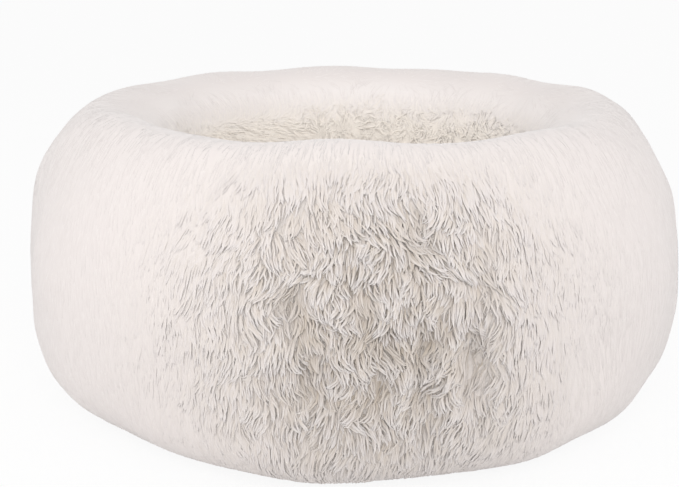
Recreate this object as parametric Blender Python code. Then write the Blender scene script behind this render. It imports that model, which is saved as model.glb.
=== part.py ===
"""Round long-pile cat bed: a stuffed ring wall round a padded floor.

The washable cover opens with a zip in a shallow groove under the base.
Metres, +Z up. The origin is the centre of the circle the bed stands on,
and the zip runs along X.
"""

import math

import bmesh
import bpy
from mathutils import Matrix, Vector

# Overall form, measured over the pile
OUTER_RADIUS = 0.250
BED_HEIGHT = 0.211
WIDEST_HEIGHT = 0.094
THROAT_RADIUS = 0.126
THROAT_HEIGHT = 0.118
FOOT_SPREAD = 0.020
FOOT_HEIGHT = 0.0465
FOOT_TUCK_DEGREES = 80

# Where the wall's outline turns, as shares of its width from the throat outwards
UNDERSIDE_SHARE = 0.46
CREST_SHARE = 0.508
BASE_SEAM_SHARE = 0.65

# How square each quarter of the wall's section is: 2 is an ellipse
LOWER_OUTER_POWER = 3.47
UPPER_OUTER_POWER = 1.77
INNER_POWER = 2.0

# Pile and cloth
OUTER_PILE = 0.018
INNER_PILE = 0.012
FLOOR_PILE = 0.011
LINER_CLOTH = 0.0008
BASE_CLOTH = 0.0012
LAYER_GAP = 0.0004
TOUCH_GAP = 0.0003

# Soft dips in the outer pile, where the stuffed wall folds
DIP_DEPTH = 0.0075
DIP_HALF_WIDTH = 0.039
DIP_HALF_HEIGHT = 0.055

# Where each dip lies: degrees round from the front, then the shares of the bed's
# height and of the full depth
DIP_DEGREES = (-135, -72, -27, 9, 36, 126, 162)
DIP_HEIGHT_SHARES = (0.40, 0.55, 0.28, 0.33, 0.38, 0.36, 0.36)
DIP_DEPTH_SHARES = (0.65, 0.45, 0.60, 0.55, 0.60, 1.0, 0.40)

# Seams
THREAD_WIDTH = 0.0010
THREAD_HEIGHT = 0.0010
THREAD_CLEARANCE = 0.0005
SEAM_CHANNEL = 0.0014
LINER_SLIT = 0.0020
PAD_FILLING_SLIT_LENGTH = 0.060

# Floor pad
FLOOR_SEAM_ALLOWANCE = 0.0025
FLOOR_CROWN = 0.006
PAD_OVERHANG = 0.0035
PAD_EDGE_ROUNDING = 0.006

# Rubber grip dots, printed on the base cloth
DOT_HEIGHT = 0.0012
DOT_FOOT_RADIUS = 0.0030
DOT_TIP_RADIUS = 0.0022
DOT_PITCH = 0.036
DOT_MARGIN = 0.0045

# Zip
TAPE_END_MARGIN = 0.002
TAPE_HALF_WIDTH = 0.0200
TAPE_CLOTH = 0.0006
TAPE_SEWN_WIDTH = 0.0065
TAPE_RISE = 0.0058
TAPE_FLAT_HALF_WIDTH = 0.0060
TAPE_PARTING = 0.0010
TAPE_TAIL = 0.030
COIL_WIDTH = 0.0024
COIL_HEIGHT = 0.0021
COIL_EDGE = 0.0005
STOP_LENGTH = 0.0025
STOP_HALF_WIDTH = 0.0032
STOP_OVERHANG = 0.0009
GROOVE_HEADROOM = 0.0008
GROOVE_SIDE_CLEARANCE = 0.0015

# Zip slider
SLIDER_LENGTH = 0.0110
SLIDER_NOSE_WIDTH = 0.0090
SLIDER_TAIL_WIDTH = 0.0074
SLIDER_PLATE = 0.0010
SLIDER_CLEARANCE = 0.0004
SLIDER_FLANGE = 0.0006
SLIDER_FLANGE_RISE = 0.0014
POST_LENGTH = 0.0018
POST_WIDTH = 0.0010
BRIDGE_HALF_LENGTH = 0.0032
BRIDGE_THICKNESS = 0.0008
BRIDGE_HALF_WIDTH = 0.0006

# Zip pull
PULL_LENGTH = 0.0220
PULL_HALF_WIDTH = 0.0032
PULL_TIP_HALF_WIDTH = 0.0024
PULL_THICKNESS = 0.0010
PULL_BAR = 0.0009
PULL_EYE_LENGTH = 0.0040
PULL_EYE_HALF_WIDTH = 0.0012
PULL_BAR_PLAY = 0.0005
PULL_GRIP_HOLE_RADIUS = 0.0011

# Fineness of the round forms
RING_STEPS = 40
QUARTER_STEPS = 5
DOT_SIDES = 6
HOLE_SIDES = 12
CUT_OVERRUN = 0.002
SINK = 0.0002
SMOOTH_DEGREES = 40
WELD_DISTANCE = 0.00001

# Radii of the wall's outline
WALL_WIDTH = OUTER_RADIUS - THROAT_RADIUS
UNDERSIDE_RADIUS = THROAT_RADIUS + WALL_WIDTH * UNDERSIDE_SHARE
CREST_RADIUS = THROAT_RADIUS + WALL_WIDTH * CREST_SHARE
BASE_SEAM_RADIUS = THROAT_RADIUS + WALL_WIDTH * BASE_SEAM_SHARE
FOOT_RADIUS = THROAT_RADIUS + FOOT_SPREAD

# Heights worked out from the layers that lie on each other
PANEL_BOTTOM = DOT_HEIGHT
PANEL_TOP = PANEL_BOTTOM + BASE_CLOTH
LINER_BOTTOM = PANEL_TOP + LAYER_GAP
TAPE_SEWN_BOTTOM = PANEL_TOP + TOUCH_GAP
TAPE_BOTTOM = TAPE_SEWN_BOTTOM + TAPE_RISE
TAPE_TOP = TAPE_BOTTOM + TAPE_CLOTH
COIL_TOP = TAPE_BOTTOM - TOUCH_GAP
COIL_BOTTOM = COIL_TOP - COIL_HEIGHT
LOWER_PLATE_TOP = COIL_BOTTOM - SLIDER_CLEARANCE
LOWER_PLATE_BOTTOM = LOWER_PLATE_TOP - SLIDER_PLATE
UPPER_PLATE_BOTTOM = TAPE_TOP + SLIDER_CLEARANCE
GROOVE_TOP = UPPER_PLATE_BOTTOM + SLIDER_PLATE + GROOVE_HEADROOM
HINGE_HEIGHT = LOWER_PLATE_BOTTOM - PULL_BAR / 2 - PULL_BAR_PLAY
BRIDGE_INSIDE = HINGE_HEIGHT - PULL_BAR / 2 - PULL_BAR_PLAY
GROOVE_HALF_WIDTH = TAPE_HALF_WIDTH + GROOVE_SIDE_CLEARANCE
SLOT_HALF_WIDTH = TAPE_HALF_WIDTH - TAPE_SEWN_WIDTH
PANEL_RADIUS = BASE_SEAM_RADIUS - THREAD_WIDTH - THREAD_CLEARANCE * 2
FLOOR_BACKING = FOOT_HEIGHT - FLOOR_PILE

# Radii and lengths that follow the nest's foot and each other
FLOOR_FUR_RADIUS = FOOT_RADIUS + FLOOR_SEAM_ALLOWANCE
PAD_RADIUS = FLOOR_FUR_RADIUS + PAD_OVERHANG
TAPE_LENGTH = 2 * (PAD_RADIUS - TAPE_END_MARGIN)
CHAIN_LENGTH = TAPE_LENGTH - 2 * TAPE_TAIL
CHAIN_START = -CHAIN_LENGTH / 2
CHAIN_END = CHAIN_LENGTH / 2
STOP_START = CHAIN_START - SLIDER_LENGTH / 2 - STOP_LENGTH - TOUCH_GAP
SLIDER_REST = CHAIN_START
COIL_START = SLIDER_REST - SLIDER_LENGTH / 2 + POST_LENGTH + SLIDER_CLEARANCE * 2


def clear_scene():
    for item in list(bpy.data.objects):
        bpy.data.objects.remove(item, do_unlink=True)


def make_material(name, colour, roughness, metallic=0.0):
    material = bpy.data.materials.new(name)
    material.use_nodes = True
    shader = material.node_tree.nodes["Principled BSDF"]
    shader.inputs["Base Color"].default_value = (*colour, 1.0)
    shader.inputs["Roughness"].default_value = roughness
    shader.inputs["Metallic"].default_value = metallic
    return material


def add_object(name, bm, material, location=(0.0, 0.0, 0.0), round_form=False):
    """Turn a finished bmesh into a named object with its faces pointing out."""
    bmesh.ops.recalc_face_normals(bm, faces=bm.faces)
    mesh = bpy.data.meshes.new(name)
    bm.to_mesh(mesh)
    bm.free()
    if round_form:
        mesh.shade_smooth()
        mesh.set_sharp_from_angle(angle=math.radians(SMOOTH_DEGREES))
    mesh.materials.append(material)
    item = bpy.data.objects.new(name, mesh)
    item.location = location
    bpy.context.collection.objects.link(item)
    return item


def make_guide(item):
    """Keep a tool solid in the file but out of the finished part."""
    item.hide_render = True
    item.display_type = "WIRE"
    return item


def combine(item, tool, operation):
    step = item.modifiers.new(operation.title(), "BOOLEAN")
    step.operation = operation
    step.solver = "EXACT"
    step.object = make_guide(tool)


def turned(outline):
    """Turn a closed outline of (radius, height) points once round Z."""
    bm = bmesh.new()
    corners = [bm.verts.new((radius, 0.0, height)) for radius, height in outline]
    sides = [bm.edges.new((a, b)) for a, b in zip(corners, corners[1:])]
    on_axis = outline[0][0] == 0.0 and outline[-1][0] == 0.0
    if not on_axis:
        sides.append(bm.edges.new((corners[-1], corners[0])))
    bmesh.ops.spin(
        bm,
        geom=corners + sides,
        cent=(0.0, 0.0, 0.0),
        axis=(0.0, 0.0, 1.0),
        angle=math.tau,
        steps=RING_STEPS,
        use_merge=True,
    )
    bmesh.ops.remove_doubles(bm, verts=bm.verts, dist=WELD_DISTANCE)
    return bm


def extruded(outline, direction):
    """Extrude a closed outline of 3-D points along a direction."""
    bm = bmesh.new()
    corners = [bm.verts.new(point) for point in outline]
    face = bm.faces.new(corners)
    top = bmesh.ops.extrude_face_region(bm, geom=[face])["geom"]
    moved = [part for part in top if isinstance(part, bmesh.types.BMVert)]
    bmesh.ops.translate(bm, verts=moved, vec=direction)
    return bm


def block(low, high):
    """A box between two corners."""
    low, high = Vector(low), Vector(high)
    bm = bmesh.new()
    size = Matrix.Diagonal((*(high - low), 1.0))
    bmesh.ops.create_cube(bm, size=1.0, matrix=Matrix.Translation((low + high) / 2) @ size)
    return bm


def quarter(centre, reach, power, start, end):
    """Points of one quarter of the wall's section, from angle start to end.

    centre and reach are (radius, height); angle 0 lies along the radius and
    90 degrees along the height.
    """
    points = []
    for step in range(QUARTER_STEPS + 1):
        angle = start + (end - start) * step / QUARTER_STEPS
        across = max(math.cos(angle), 0.0) ** (2.0 / power)
        along = max(math.sin(angle), 0.0) ** (2.0 / power)
        points.append((centre[0] + reach[0] * across, centre[1] + reach[1] * along))
    return points


def angle_at_radius(centre_radius, reach_radius, power, radius):
    """The angle at which a quarter passes the given radius."""
    share = (radius - centre_radius) / reach_radius
    return math.acos(share ** (power / 2.0))


def wall_quarters(outer_inset, inner_inset, underside):
    """The wall's section as four quarters, set in from the pile's surface.

    They run from the base seam up the outside, over the crest, down the
    inside and under to the foot.
    """
    low_start = angle_at_radius(
        UNDERSIDE_RADIUS,
        OUTER_RADIUS - outer_inset - UNDERSIDE_RADIUS,
        LOWER_OUTER_POWER,
        BASE_SEAM_RADIUS,
    )
    top = BED_HEIGHT - outer_inset
    outer = OUTER_RADIUS - outer_inset
    throat = THROAT_RADIUS + inner_inset
    foot_height = FOOT_HEIGHT + inner_inset
    right_angle = math.pi / 2
    return [
        quarter(
            (UNDERSIDE_RADIUS, WIDEST_HEIGHT),
            (outer - UNDERSIDE_RADIUS, underside - WIDEST_HEIGHT),
            LOWER_OUTER_POWER, low_start, 0.0,
        ),
        quarter(
            (CREST_RADIUS, WIDEST_HEIGHT),
            (outer - CREST_RADIUS, top - WIDEST_HEIGHT),
            UPPER_OUTER_POWER, 0.0, right_angle,
        ),
        quarter(
            (CREST_RADIUS, THROAT_HEIGHT),
            (throat - CREST_RADIUS, top - THROAT_HEIGHT),
            INNER_POWER, right_angle, 0.0,
        ),
        quarter(
            (FOOT_RADIUS, THROAT_HEIGHT),
            (throat - FOOT_RADIUS, foot_height - THROAT_HEIGHT),
            INNER_POWER, 0.0, math.radians(FOOT_TUCK_DEGREES),
        ),
    ]


def along(points, index, distance):
    """A point moved from points[index] towards the next one by a distance."""
    here, there = Vector(points[index]), Vector(points[index + 1])
    return tuple(here + (there - here).normalized() * distance)


def back_along(points, index, distance):
    """A point moved from points[index] towards the one before it."""
    here, there = Vector(points[index]), Vector(points[index - 1])
    return tuple(here + (there - here).normalized() * distance)


def join_quarters(quarters):
    """One run of points, with the shared ends of the quarters written once."""
    points = list(quarters[0])
    for each in quarters[1:]:
        points.extend(each[1:])
    return points


# The crest seam lies just inside the top of the rim, where the pile hides it
CREST_SEAM_INDEX = 2 * QUARTER_STEPS + 2


def pile_and_backing():
    pile = join_quarters(wall_quarters(0.0, 0.0, DOT_HEIGHT))
    backing = join_quarters(wall_quarters(OUTER_PILE, INNER_PILE, LINER_BOTTOM))
    return pile, backing


def dip_depth(azimuth, height):
    """How far the pile's surface lies in at an angle round from the front and a height."""
    depth = 0.0
    for degrees, height_share, depth_share in zip(DIP_DEGREES, DIP_HEIGHT_SHARES, DIP_DEPTH_SHARES):
        turn = math.remainder(azimuth - math.radians(degrees), math.tau)
        across = turn * OUTER_RADIUS / DIP_HALF_WIDTH
        upward = (height - BED_HEIGHT * height_share) / DIP_HALF_HEIGHT
        apart = min(math.hypot(across, upward), 1.0)
        depth += DIP_DEPTH * depth_share * math.cos(apart * math.pi / 2) ** 2
    return depth


def press_dips(bm, surface):
    """Press the dips into the turned points of the pile's surface, towards the axis."""
    pressed = set()
    for corner in bm.verts:
        radius = math.hypot(corner.co.x, corner.co.y)
        on_surface = any(
            math.dist((radius, corner.co.z), point) < WELD_DISTANCE for point in surface)
        depth = dip_depth(math.atan2(corner.co.x, -corner.co.y), corner.co.z)
        if on_surface and depth > WELD_DISTANCE:
            corner.co.xy = corner.co.xy * (1.0 - depth / radius)
            pressed.update(corner.link_faces)
    bmesh.ops.triangulate(bm, faces=list(pressed))
    return bm


def make_outer_wall_fur(material):
    """The long-pile strip round the outside and over the crest."""
    pile, backing = pile_and_backing()
    seam = CREST_SEAM_INDEX
    outside = pile[:seam] + [back_along(pile, seam, TOUCH_GAP)]
    inside = backing[:seam] + [back_along(backing, seam, SEAM_CHANNEL)]
    strip = press_dips(turned(outside + inside[::-1]), outside)
    add_object("outer_wall_fur", strip, material, round_form=True)


def make_inner_wall_fur(material):
    """The shorter-pile strip down the inside of the nest."""
    pile, backing = pile_and_backing()
    seam = CREST_SEAM_INDEX
    outside = [along(pile, seam, TOUCH_GAP)] + pile[seam + 1:]
    inside = [along(backing, seam, SEAM_CHANNEL)] + backing[seam + 1:]
    add_object("inner_wall_fur", turned(outside + inside[::-1]), material, round_form=True)


def make_thread_ring(name, radius, bottom, material):
    """A line of stitching as one thin ring round the bed."""
    outline = [
        (radius - THREAD_WIDTH / 2, bottom),
        (radius + THREAD_WIDTH / 2, bottom),
        (radius + THREAD_WIDTH / 2, bottom + THREAD_HEIGHT),
        (radius - THREAD_WIDTH / 2, bottom + THREAD_HEIGHT),
    ]
    add_object(name, turned(outline), material, round_form=True)


def make_seams(material):
    backing = pile_and_backing()[1]
    crest_radius, crest_height = backing[CREST_SEAM_INDEX]
    make_thread_ring("crest_seam_thread", crest_radius, crest_height, material)
    foot_seam_radius = FLOOR_FUR_RADIUS + THREAD_CLEARANCE + THREAD_WIDTH / 2
    make_thread_ring("floor_seam_thread", foot_seam_radius, FOOT_HEIGHT, material)
    base_seam_radius = PANEL_RADIUS + THREAD_CLEARANCE + THREAD_WIDTH / 2
    make_thread_ring("base_seam_thread", base_seam_radius, PANEL_BOTTOM, material)


def ring_core(inset):
    """The closed section of what fills the wall, set in from the backing."""
    quarters = wall_quarters(OUTER_PILE + inset, INNER_PILE + inset, LINER_BOTTOM + inset)
    wall = join_quarters(quarters)
    pad_side = PAD_RADIUS + LAYER_GAP + inset
    bottom = LINER_BOTTOM + inset
    seam_side = (BASE_SEAM_RADIUS - THREAD_WIDTH, bottom)
    return [(pad_side, bottom), seam_side] + wall + [(pad_side, wall[-1][1])]


def make_rim_liner(material):
    """The bag that holds the wall's filling, open at a slit along its base."""
    outside = ring_core(LAYER_GAP)
    inside = ring_core(LAYER_GAP + LINER_CLOTH)
    slit = (outside[0][0] + outside[1][0]) / 2
    outer_run = [(slit + LINER_SLIT / 2, outside[0][1])] + outside[1:]
    outer_run += [outside[0], (slit - LINER_SLIT / 2, outside[0][1])]
    inner_run = [(slit + LINER_SLIT / 2, inside[0][1])] + inside[1:]
    inner_run += [inside[0], (slit - LINER_SLIT / 2, inside[0][1])]
    add_object("rim_liner", turned(outer_run + inner_run[::-1]), material, round_form=True)


def make_rim_filling(material):
    outline = ring_core(LAYER_GAP + LINER_CLOTH + LAYER_GAP)
    add_object("rim_filling", turned(outline), material, round_form=True)


def crowned_disc(radius, bottom, top, crown):
    """The half section of a round pad with a softly crowned top."""
    rise_shares = (1.0, 0.93, 0.71, 0.38)
    reach_shares = (0.0, 0.3, 0.6, 0.85)
    flat_top = [(radius * reach, top + crown * rise)
                for reach, rise in zip(reach_shares, rise_shares)]
    return [(0.0, bottom), (radius, bottom), (radius, top)] + flat_top[::-1]


def make_floor_fur(material):
    outline = crowned_disc(FLOOR_FUR_RADIUS, FLOOR_BACKING, FOOT_HEIGHT - LAYER_GAP, FLOOR_CROWN)
    add_object("floor_fur", turned(outline), material, round_form=True)


def pad_puck(inset):
    """The floor pad's round body, under the floor fur, set in on every side."""
    radius = PAD_RADIUS - inset
    bottom = LINER_BOTTOM + inset
    top = FLOOR_BACKING - LAYER_GAP - inset
    rounding = PAD_EDGE_ROUNDING
    half = rounding * (1.0 - math.cos(math.pi / 4))
    return turned([
        (0.0, bottom),
        (radius, bottom),
        (radius, top - rounding),
        (radius - half, top - half),
        (radius - rounding, top),
        (0.0, top),
    ])


def groove_block(grown):
    """The space over the zip, let into the underside of the floor pad."""
    half_width = GROOVE_HALF_WIDTH + grown
    half_length = PAD_RADIUS + CUT_OVERRUN
    return block(
        (-half_length, -half_width, -CUT_OVERRUN),
        (half_length, half_width, GROOVE_TOP + grown),
    )


def make_floor_liner(material):
    """The pad's bag: a thin skin round the filling, grooved over the zip."""
    skin = LINER_CLOTH
    liner = add_object("floor_liner", pad_puck(0.0), material, round_form=True)
    hollow = add_object("floor_liner_hollow", pad_puck(skin), material)
    combine(hollow, add_object("floor_liner_groove_skin", groove_block(skin), material), "DIFFERENCE")
    combine(liner, add_object("floor_liner_groove", groove_block(0.0), material), "DIFFERENCE")
    combine(liner, hollow, "DIFFERENCE")
    slit_height = (GROOVE_TOP + FLOOR_BACKING) / 2
    slit = block(
        (-PAD_FILLING_SLIT_LENGTH / 2, PAD_RADIUS - skin - CUT_OVERRUN, slit_height - LINER_SLIT / 2),
        (PAD_FILLING_SLIT_LENGTH / 2, PAD_RADIUS + CUT_OVERRUN, slit_height + LINER_SLIT / 2),
    )
    combine(liner, add_object("floor_liner_slit", slit, material), "DIFFERENCE")


def make_floor_filling(material):
    inset = LINER_CLOTH + LAYER_GAP
    filling = add_object("floor_filling", pad_puck(inset), material, round_form=True)
    groove = add_object("floor_filling_groove", groove_block(inset), material)
    combine(filling, groove, "DIFFERENCE")


def make_base_panel(name, side, material):
    """Half of the bottom disc, notched along the zip. side is 1 or -1 in Y."""
    arc = []
    for step in range(RING_STEPS // 2 + 1):
        angle = math.tau * step / RING_STEPS
        arc.append((PANEL_RADIUS * math.cos(angle), max(PANEL_RADIUS * math.sin(angle), TOUCH_GAP)))
    half_tape = TAPE_LENGTH / 2 + TOUCH_GAP
    notch = [
        (-half_tape, TOUCH_GAP),
        (-half_tape, SLOT_HALF_WIDTH),
        (half_tape, SLOT_HALF_WIDTH),
        (half_tape, TOUCH_GAP),
    ]
    outline = [(x, side * y, PANEL_BOTTOM) for x, y in arc + notch]
    panel = add_object(name, extruded(outline, (0.0, 0.0, BASE_CLOTH)), material)
    combine(panel, add_object(name + "_dots", grip_dots(side), material), "UNION")


def grip_dots(side):
    """The rubber dots of one half of the base, in staggered rows."""
    bm = bmesh.new()
    row_step = DOT_PITCH * math.sqrt(3) / 2
    reach = PANEL_RADIUS - DOT_FOOT_RADIUS - DOT_MARGIN
    first_row = SLOT_HALF_WIDTH + DOT_FOOT_RADIUS + DOT_MARGIN
    rows = int((reach - first_row) / row_step) + 1
    columns = int(reach / DOT_PITCH) + 1
    for row in range(rows):
        y = first_row + row * row_step
        shift = DOT_PITCH / 2 * (row % 2)
        for column in range(-columns, columns + 1):
            x = column * DOT_PITCH + shift
            if math.hypot(x, y) > reach:
                continue
            bmesh.ops.create_cone(
                bm,
                cap_ends=True,
                segments=DOT_SIDES,
                radius1=DOT_TIP_RADIUS,
                radius2=DOT_FOOT_RADIUS,
                depth=DOT_HEIGHT + SINK,
                matrix=Matrix.Translation((x, side * y, (DOT_HEIGHT + SINK) / 2)),
            )
    return bm


def make_tape(name, side, material):
    """One zip tape: sewn flat on the base panel, then rising to the coil."""
    section = [
        (TAPE_HALF_WIDTH, TAPE_SEWN_BOTTOM),
        (SLOT_HALF_WIDTH, TAPE_SEWN_BOTTOM),
        (TAPE_FLAT_HALF_WIDTH, TAPE_BOTTOM),
        (TAPE_PARTING, TAPE_BOTTOM),
        (TAPE_PARTING, TAPE_TOP),
        (TAPE_FLAT_HALF_WIDTH, TAPE_TOP),
        (SLOT_HALF_WIDTH, TAPE_SEWN_BOTTOM + TAPE_CLOTH),
        (TAPE_HALF_WIDTH, TAPE_SEWN_BOTTOM + TAPE_CLOTH),
    ]
    outline = [(-TAPE_LENGTH / 2, side * y, z) for y, z in section]
    add_object(name, extruded(outline, (TAPE_LENGTH, 0.0, 0.0)), material)


def make_coil(name, side, material):
    """One row of the zip's coil, sewn under the edge of its tape."""
    near, far = TOUCH_GAP / 2, TOUCH_GAP / 2 + COIL_WIDTH
    section = [
        (near, COIL_BOTTOM + COIL_EDGE),
        (near + COIL_EDGE, COIL_BOTTOM),
        (far - COIL_EDGE, COIL_BOTTOM),
        (far, COIL_BOTTOM + COIL_EDGE),
        (far, COIL_TOP - COIL_EDGE),
        (far - COIL_EDGE, COIL_TOP),
        (near + COIL_EDGE, COIL_TOP),
        (near, COIL_TOP - COIL_EDGE),
    ]
    outline = [(COIL_START, side * y, z) for y, z in section]
    length = CHAIN_END - TOUCH_GAP - COIL_START
    add_object(name, extruded(outline, (length, 0.0, 0.0)), material)


def make_stop(name, start, material):
    """A stop clamped under both tapes past the end of the chain."""
    stop = block(
        (start, -STOP_HALF_WIDTH, COIL_BOTTOM - STOP_OVERHANG),
        (start + STOP_LENGTH, STOP_HALF_WIDTH, COIL_TOP),
    )
    add_object(name, stop, material)


def slider_plate(bottom):
    """One of the slider's two plates, wider at the nose than at the tail."""
    half = SLIDER_LENGTH / 2
    shoulder = SLIDER_LENGTH / 6
    return extruded(
        [
            (-half, -SLIDER_NOSE_WIDTH / 2 + shoulder / 2, bottom),
            (-half + shoulder, -SLIDER_NOSE_WIDTH / 2, bottom),
            (half, -SLIDER_TAIL_WIDTH / 2, bottom),
            (half, SLIDER_TAIL_WIDTH / 2, bottom),
            (-half + shoulder, SLIDER_NOSE_WIDTH / 2, bottom),
            (-half, SLIDER_NOSE_WIDTH / 2 - shoulder / 2, bottom),
        ],
        (0.0, 0.0, SLIDER_PLATE),
    )


def make_slider(material):
    """The zip slider: two plates on a post, flanges, and a bridge for the pull."""
    half = SLIDER_LENGTH / 2
    place = (SLIDER_REST, 0.0, 0.0)
    slider = add_object("zip_slider", slider_plate(LOWER_PLATE_BOTTOM), material, place)
    upper = slider_plate(UPPER_PLATE_BOTTOM)
    combine(slider, add_object("slider_upper_plate", upper, material, place), "UNION")
    post = block(
        (-half + SINK, -POST_WIDTH / 2, LOWER_PLATE_TOP - SINK),
        (-half + POST_LENGTH, POST_WIDTH / 2, UPPER_PLATE_BOTTOM + SINK),
    )
    combine(slider, add_object("slider_post", post, material, place), "UNION")
    for side in (1, -1):
        outer = side * (SLIDER_TAIL_WIDTH / 2 - SINK)
        inner = side * (SLIDER_TAIL_WIDTH / 2 - SINK - SLIDER_FLANGE)
        flange = block(
            (-half + POST_LENGTH, min(outer, inner), LOWER_PLATE_TOP - SINK),
            (half - SINK, max(outer, inner), LOWER_PLATE_TOP + SLIDER_FLANGE_RISE),
        )
        label = "left" if side > 0 else "right"
        combine(slider, add_object("slider_flange_" + label, flange, material, place), "UNION")
    make_bridge(slider, material, place)


def make_bridge(slider, material, place):
    """The small arch under the slider that the pull hangs in."""
    outer = BRIDGE_HALF_LENGTH
    inner = BRIDGE_HALF_LENGTH - BRIDGE_THICKNESS
    bottom = BRIDGE_INSIDE - BRIDGE_THICKNESS
    root = LOWER_PLATE_BOTTOM + SINK
    side = -BRIDGE_HALF_WIDTH
    outline = [
        (-outer, side, root), (-outer, side, bottom), (outer, side, bottom), (outer, side, root),
        (inner, side, root), (inner, side, BRIDGE_INSIDE),
        (-inner, side, BRIDGE_INSIDE), (-inner, side, root),
    ]
    arch = extruded(outline, (0.0, BRIDGE_HALF_WIDTH * 2, 0.0))
    combine(slider, add_object("slider_bridge", arch, material, place), "UNION")


def make_pull(material):
    """The flat pull, hung on the slider's bridge by the bar behind its eye."""
    place = (SLIDER_REST, 0.0, HINGE_HEIGHT)
    start = -PULL_BAR / 2
    bottom = -PULL_THICKNESS / 2
    shoulder = PULL_EYE_LENGTH * 2
    tip_corner = PULL_TIP_HALF_WIDTH / 2
    outline = [
        (start, -PULL_HALF_WIDTH, bottom),
        (shoulder, -PULL_HALF_WIDTH, bottom),
        (PULL_LENGTH - tip_corner, -PULL_TIP_HALF_WIDTH, bottom),
        (PULL_LENGTH, -tip_corner, bottom),
        (PULL_LENGTH, tip_corner, bottom),
        (PULL_LENGTH - tip_corner, PULL_TIP_HALF_WIDTH, bottom),
        (shoulder, PULL_HALF_WIDTH, bottom),
        (start, PULL_HALF_WIDTH, bottom),
    ]
    plate = extruded(outline, (0.0, 0.0, PULL_THICKNESS))
    pull = add_object("zip_pull", plate, material, place)
    eye = block(
        (PULL_BAR / 2, -PULL_EYE_HALF_WIDTH, bottom - CUT_OVERRUN),
        (PULL_BAR / 2 + PULL_EYE_LENGTH, PULL_EYE_HALF_WIDTH, CUT_OVERRUN),
    )
    combine(pull, add_object("pull_eye", eye, material, place), "DIFFERENCE")
    hole = bmesh.new()
    bmesh.ops.create_cone(
        hole,
        cap_ends=True,
        segments=HOLE_SIDES,
        radius1=PULL_GRIP_HOLE_RADIUS,
        radius2=PULL_GRIP_HOLE_RADIUS,
        depth=PULL_THICKNESS + CUT_OVERRUN,
        matrix=Matrix.Translation((PULL_LENGTH - PULL_HALF_WIDTH, 0.0, 0.0)),
    )
    combine(pull, add_object("pull_grip_hole", hole, material, place), "DIFFERENCE")


def build():
    clear_scene()
    outer_fur = make_material("outer_fur", (0.86, 0.83, 0.80), 0.95)
    inner_fur = make_material("inner_fur", (0.84, 0.78, 0.70), 0.95)
    floor_fur = make_material("floor_fur", (0.84, 0.79, 0.72), 0.95)
    liner = make_material("liner_cloth", (0.88, 0.88, 0.87), 0.85)
    fibre = make_material("polyester_fibre", (0.92, 0.92, 0.92), 0.95)
    base = make_material("base_cloth", (0.80, 0.78, 0.74), 0.80)
    thread = make_material("sewing_thread", (0.85, 0.83, 0.79), 0.70)
    tape = make_material("zip_tape", (0.84, 0.82, 0.78), 0.80)
    coil = make_material("zip_coil", (0.82, 0.80, 0.76), 0.40)
    metal = make_material("zip_metal", (0.62, 0.62, 0.63), 0.30, 1.0)

    make_outer_wall_fur(outer_fur)
    make_inner_wall_fur(inner_fur)
    make_floor_fur(floor_fur)
    make_seams(thread)
    make_rim_liner(liner)
    make_rim_filling(fibre)
    make_floor_liner(liner)
    make_floor_filling(fibre)
    for label, side in (("back", 1), ("front", -1)):
        make_base_panel("base_panel_" + label, side, base)
        make_tape("zip_tape_" + label, side, tape)
        make_coil("zip_coil_" + label, side, coil)
    make_stop("zip_stop_closed_end", STOP_START, metal)
    make_stop("zip_stop_open_end", CHAIN_END, metal)
    make_slider(metal)
    make_pull(metal)


build()
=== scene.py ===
import math

import bpy
import numpy as np
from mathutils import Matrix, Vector, kdtree


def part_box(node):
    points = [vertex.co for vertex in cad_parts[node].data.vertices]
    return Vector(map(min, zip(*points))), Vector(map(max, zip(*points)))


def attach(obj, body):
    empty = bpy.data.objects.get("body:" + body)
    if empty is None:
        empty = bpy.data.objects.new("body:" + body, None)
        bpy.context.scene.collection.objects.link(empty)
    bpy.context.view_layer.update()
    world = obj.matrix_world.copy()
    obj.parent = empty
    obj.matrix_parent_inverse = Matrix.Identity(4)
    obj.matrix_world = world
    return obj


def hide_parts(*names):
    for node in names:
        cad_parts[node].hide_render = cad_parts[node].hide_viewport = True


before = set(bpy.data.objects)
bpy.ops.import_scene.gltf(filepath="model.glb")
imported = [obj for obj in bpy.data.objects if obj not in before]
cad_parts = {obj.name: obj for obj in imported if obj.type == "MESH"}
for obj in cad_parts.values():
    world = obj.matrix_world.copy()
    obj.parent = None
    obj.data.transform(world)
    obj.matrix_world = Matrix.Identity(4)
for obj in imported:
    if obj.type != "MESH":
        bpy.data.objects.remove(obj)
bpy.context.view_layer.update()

# Camera and soft studio light.
# The camera stands where the photograph's did, 0.8 m in front and 17 degrees up,
# with large soft lamps at both sides and in front, as for a product on white.
CAMERA_HEIGHT = 0.3296
CAMERA_DISTANCE = 0.7828
CAMERA_TILT = 0.2941
CAMERA_TURN = 0.0118
FOCAL_PIXELS = 1016.3
PHOTO_WIDTH_PIXELS = 679
SENSOR_WIDTH_MM = 36.0
LAMP_WHITE = (1.0, 0.99, 0.98)
LAMP_WIDTH = 1.0
ROOM_LIGHT = 0.66
PURE_WHITE = (1.0, 1.0, 1.0, 1.0)

bpy.ops.object.select_all(action="DESELECT")
bpy.ops.object.camera_add(
    location=(0.0, -CAMERA_DISTANCE, CAMERA_HEIGHT),
    rotation=(math.pi / 2 - CAMERA_TILT, 0.0, CAMERA_TURN))
camera = bpy.context.object
camera.data.sensor_width = SENSOR_WIDTH_MM
camera.data.lens = FOCAL_PIXELS * SENSOR_WIDTH_MM / PHOTO_WIDTH_PIXELS
bpy.context.scene.camera = camera
bpy.context.scene.view_settings.view_transform = "Standard"


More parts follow.
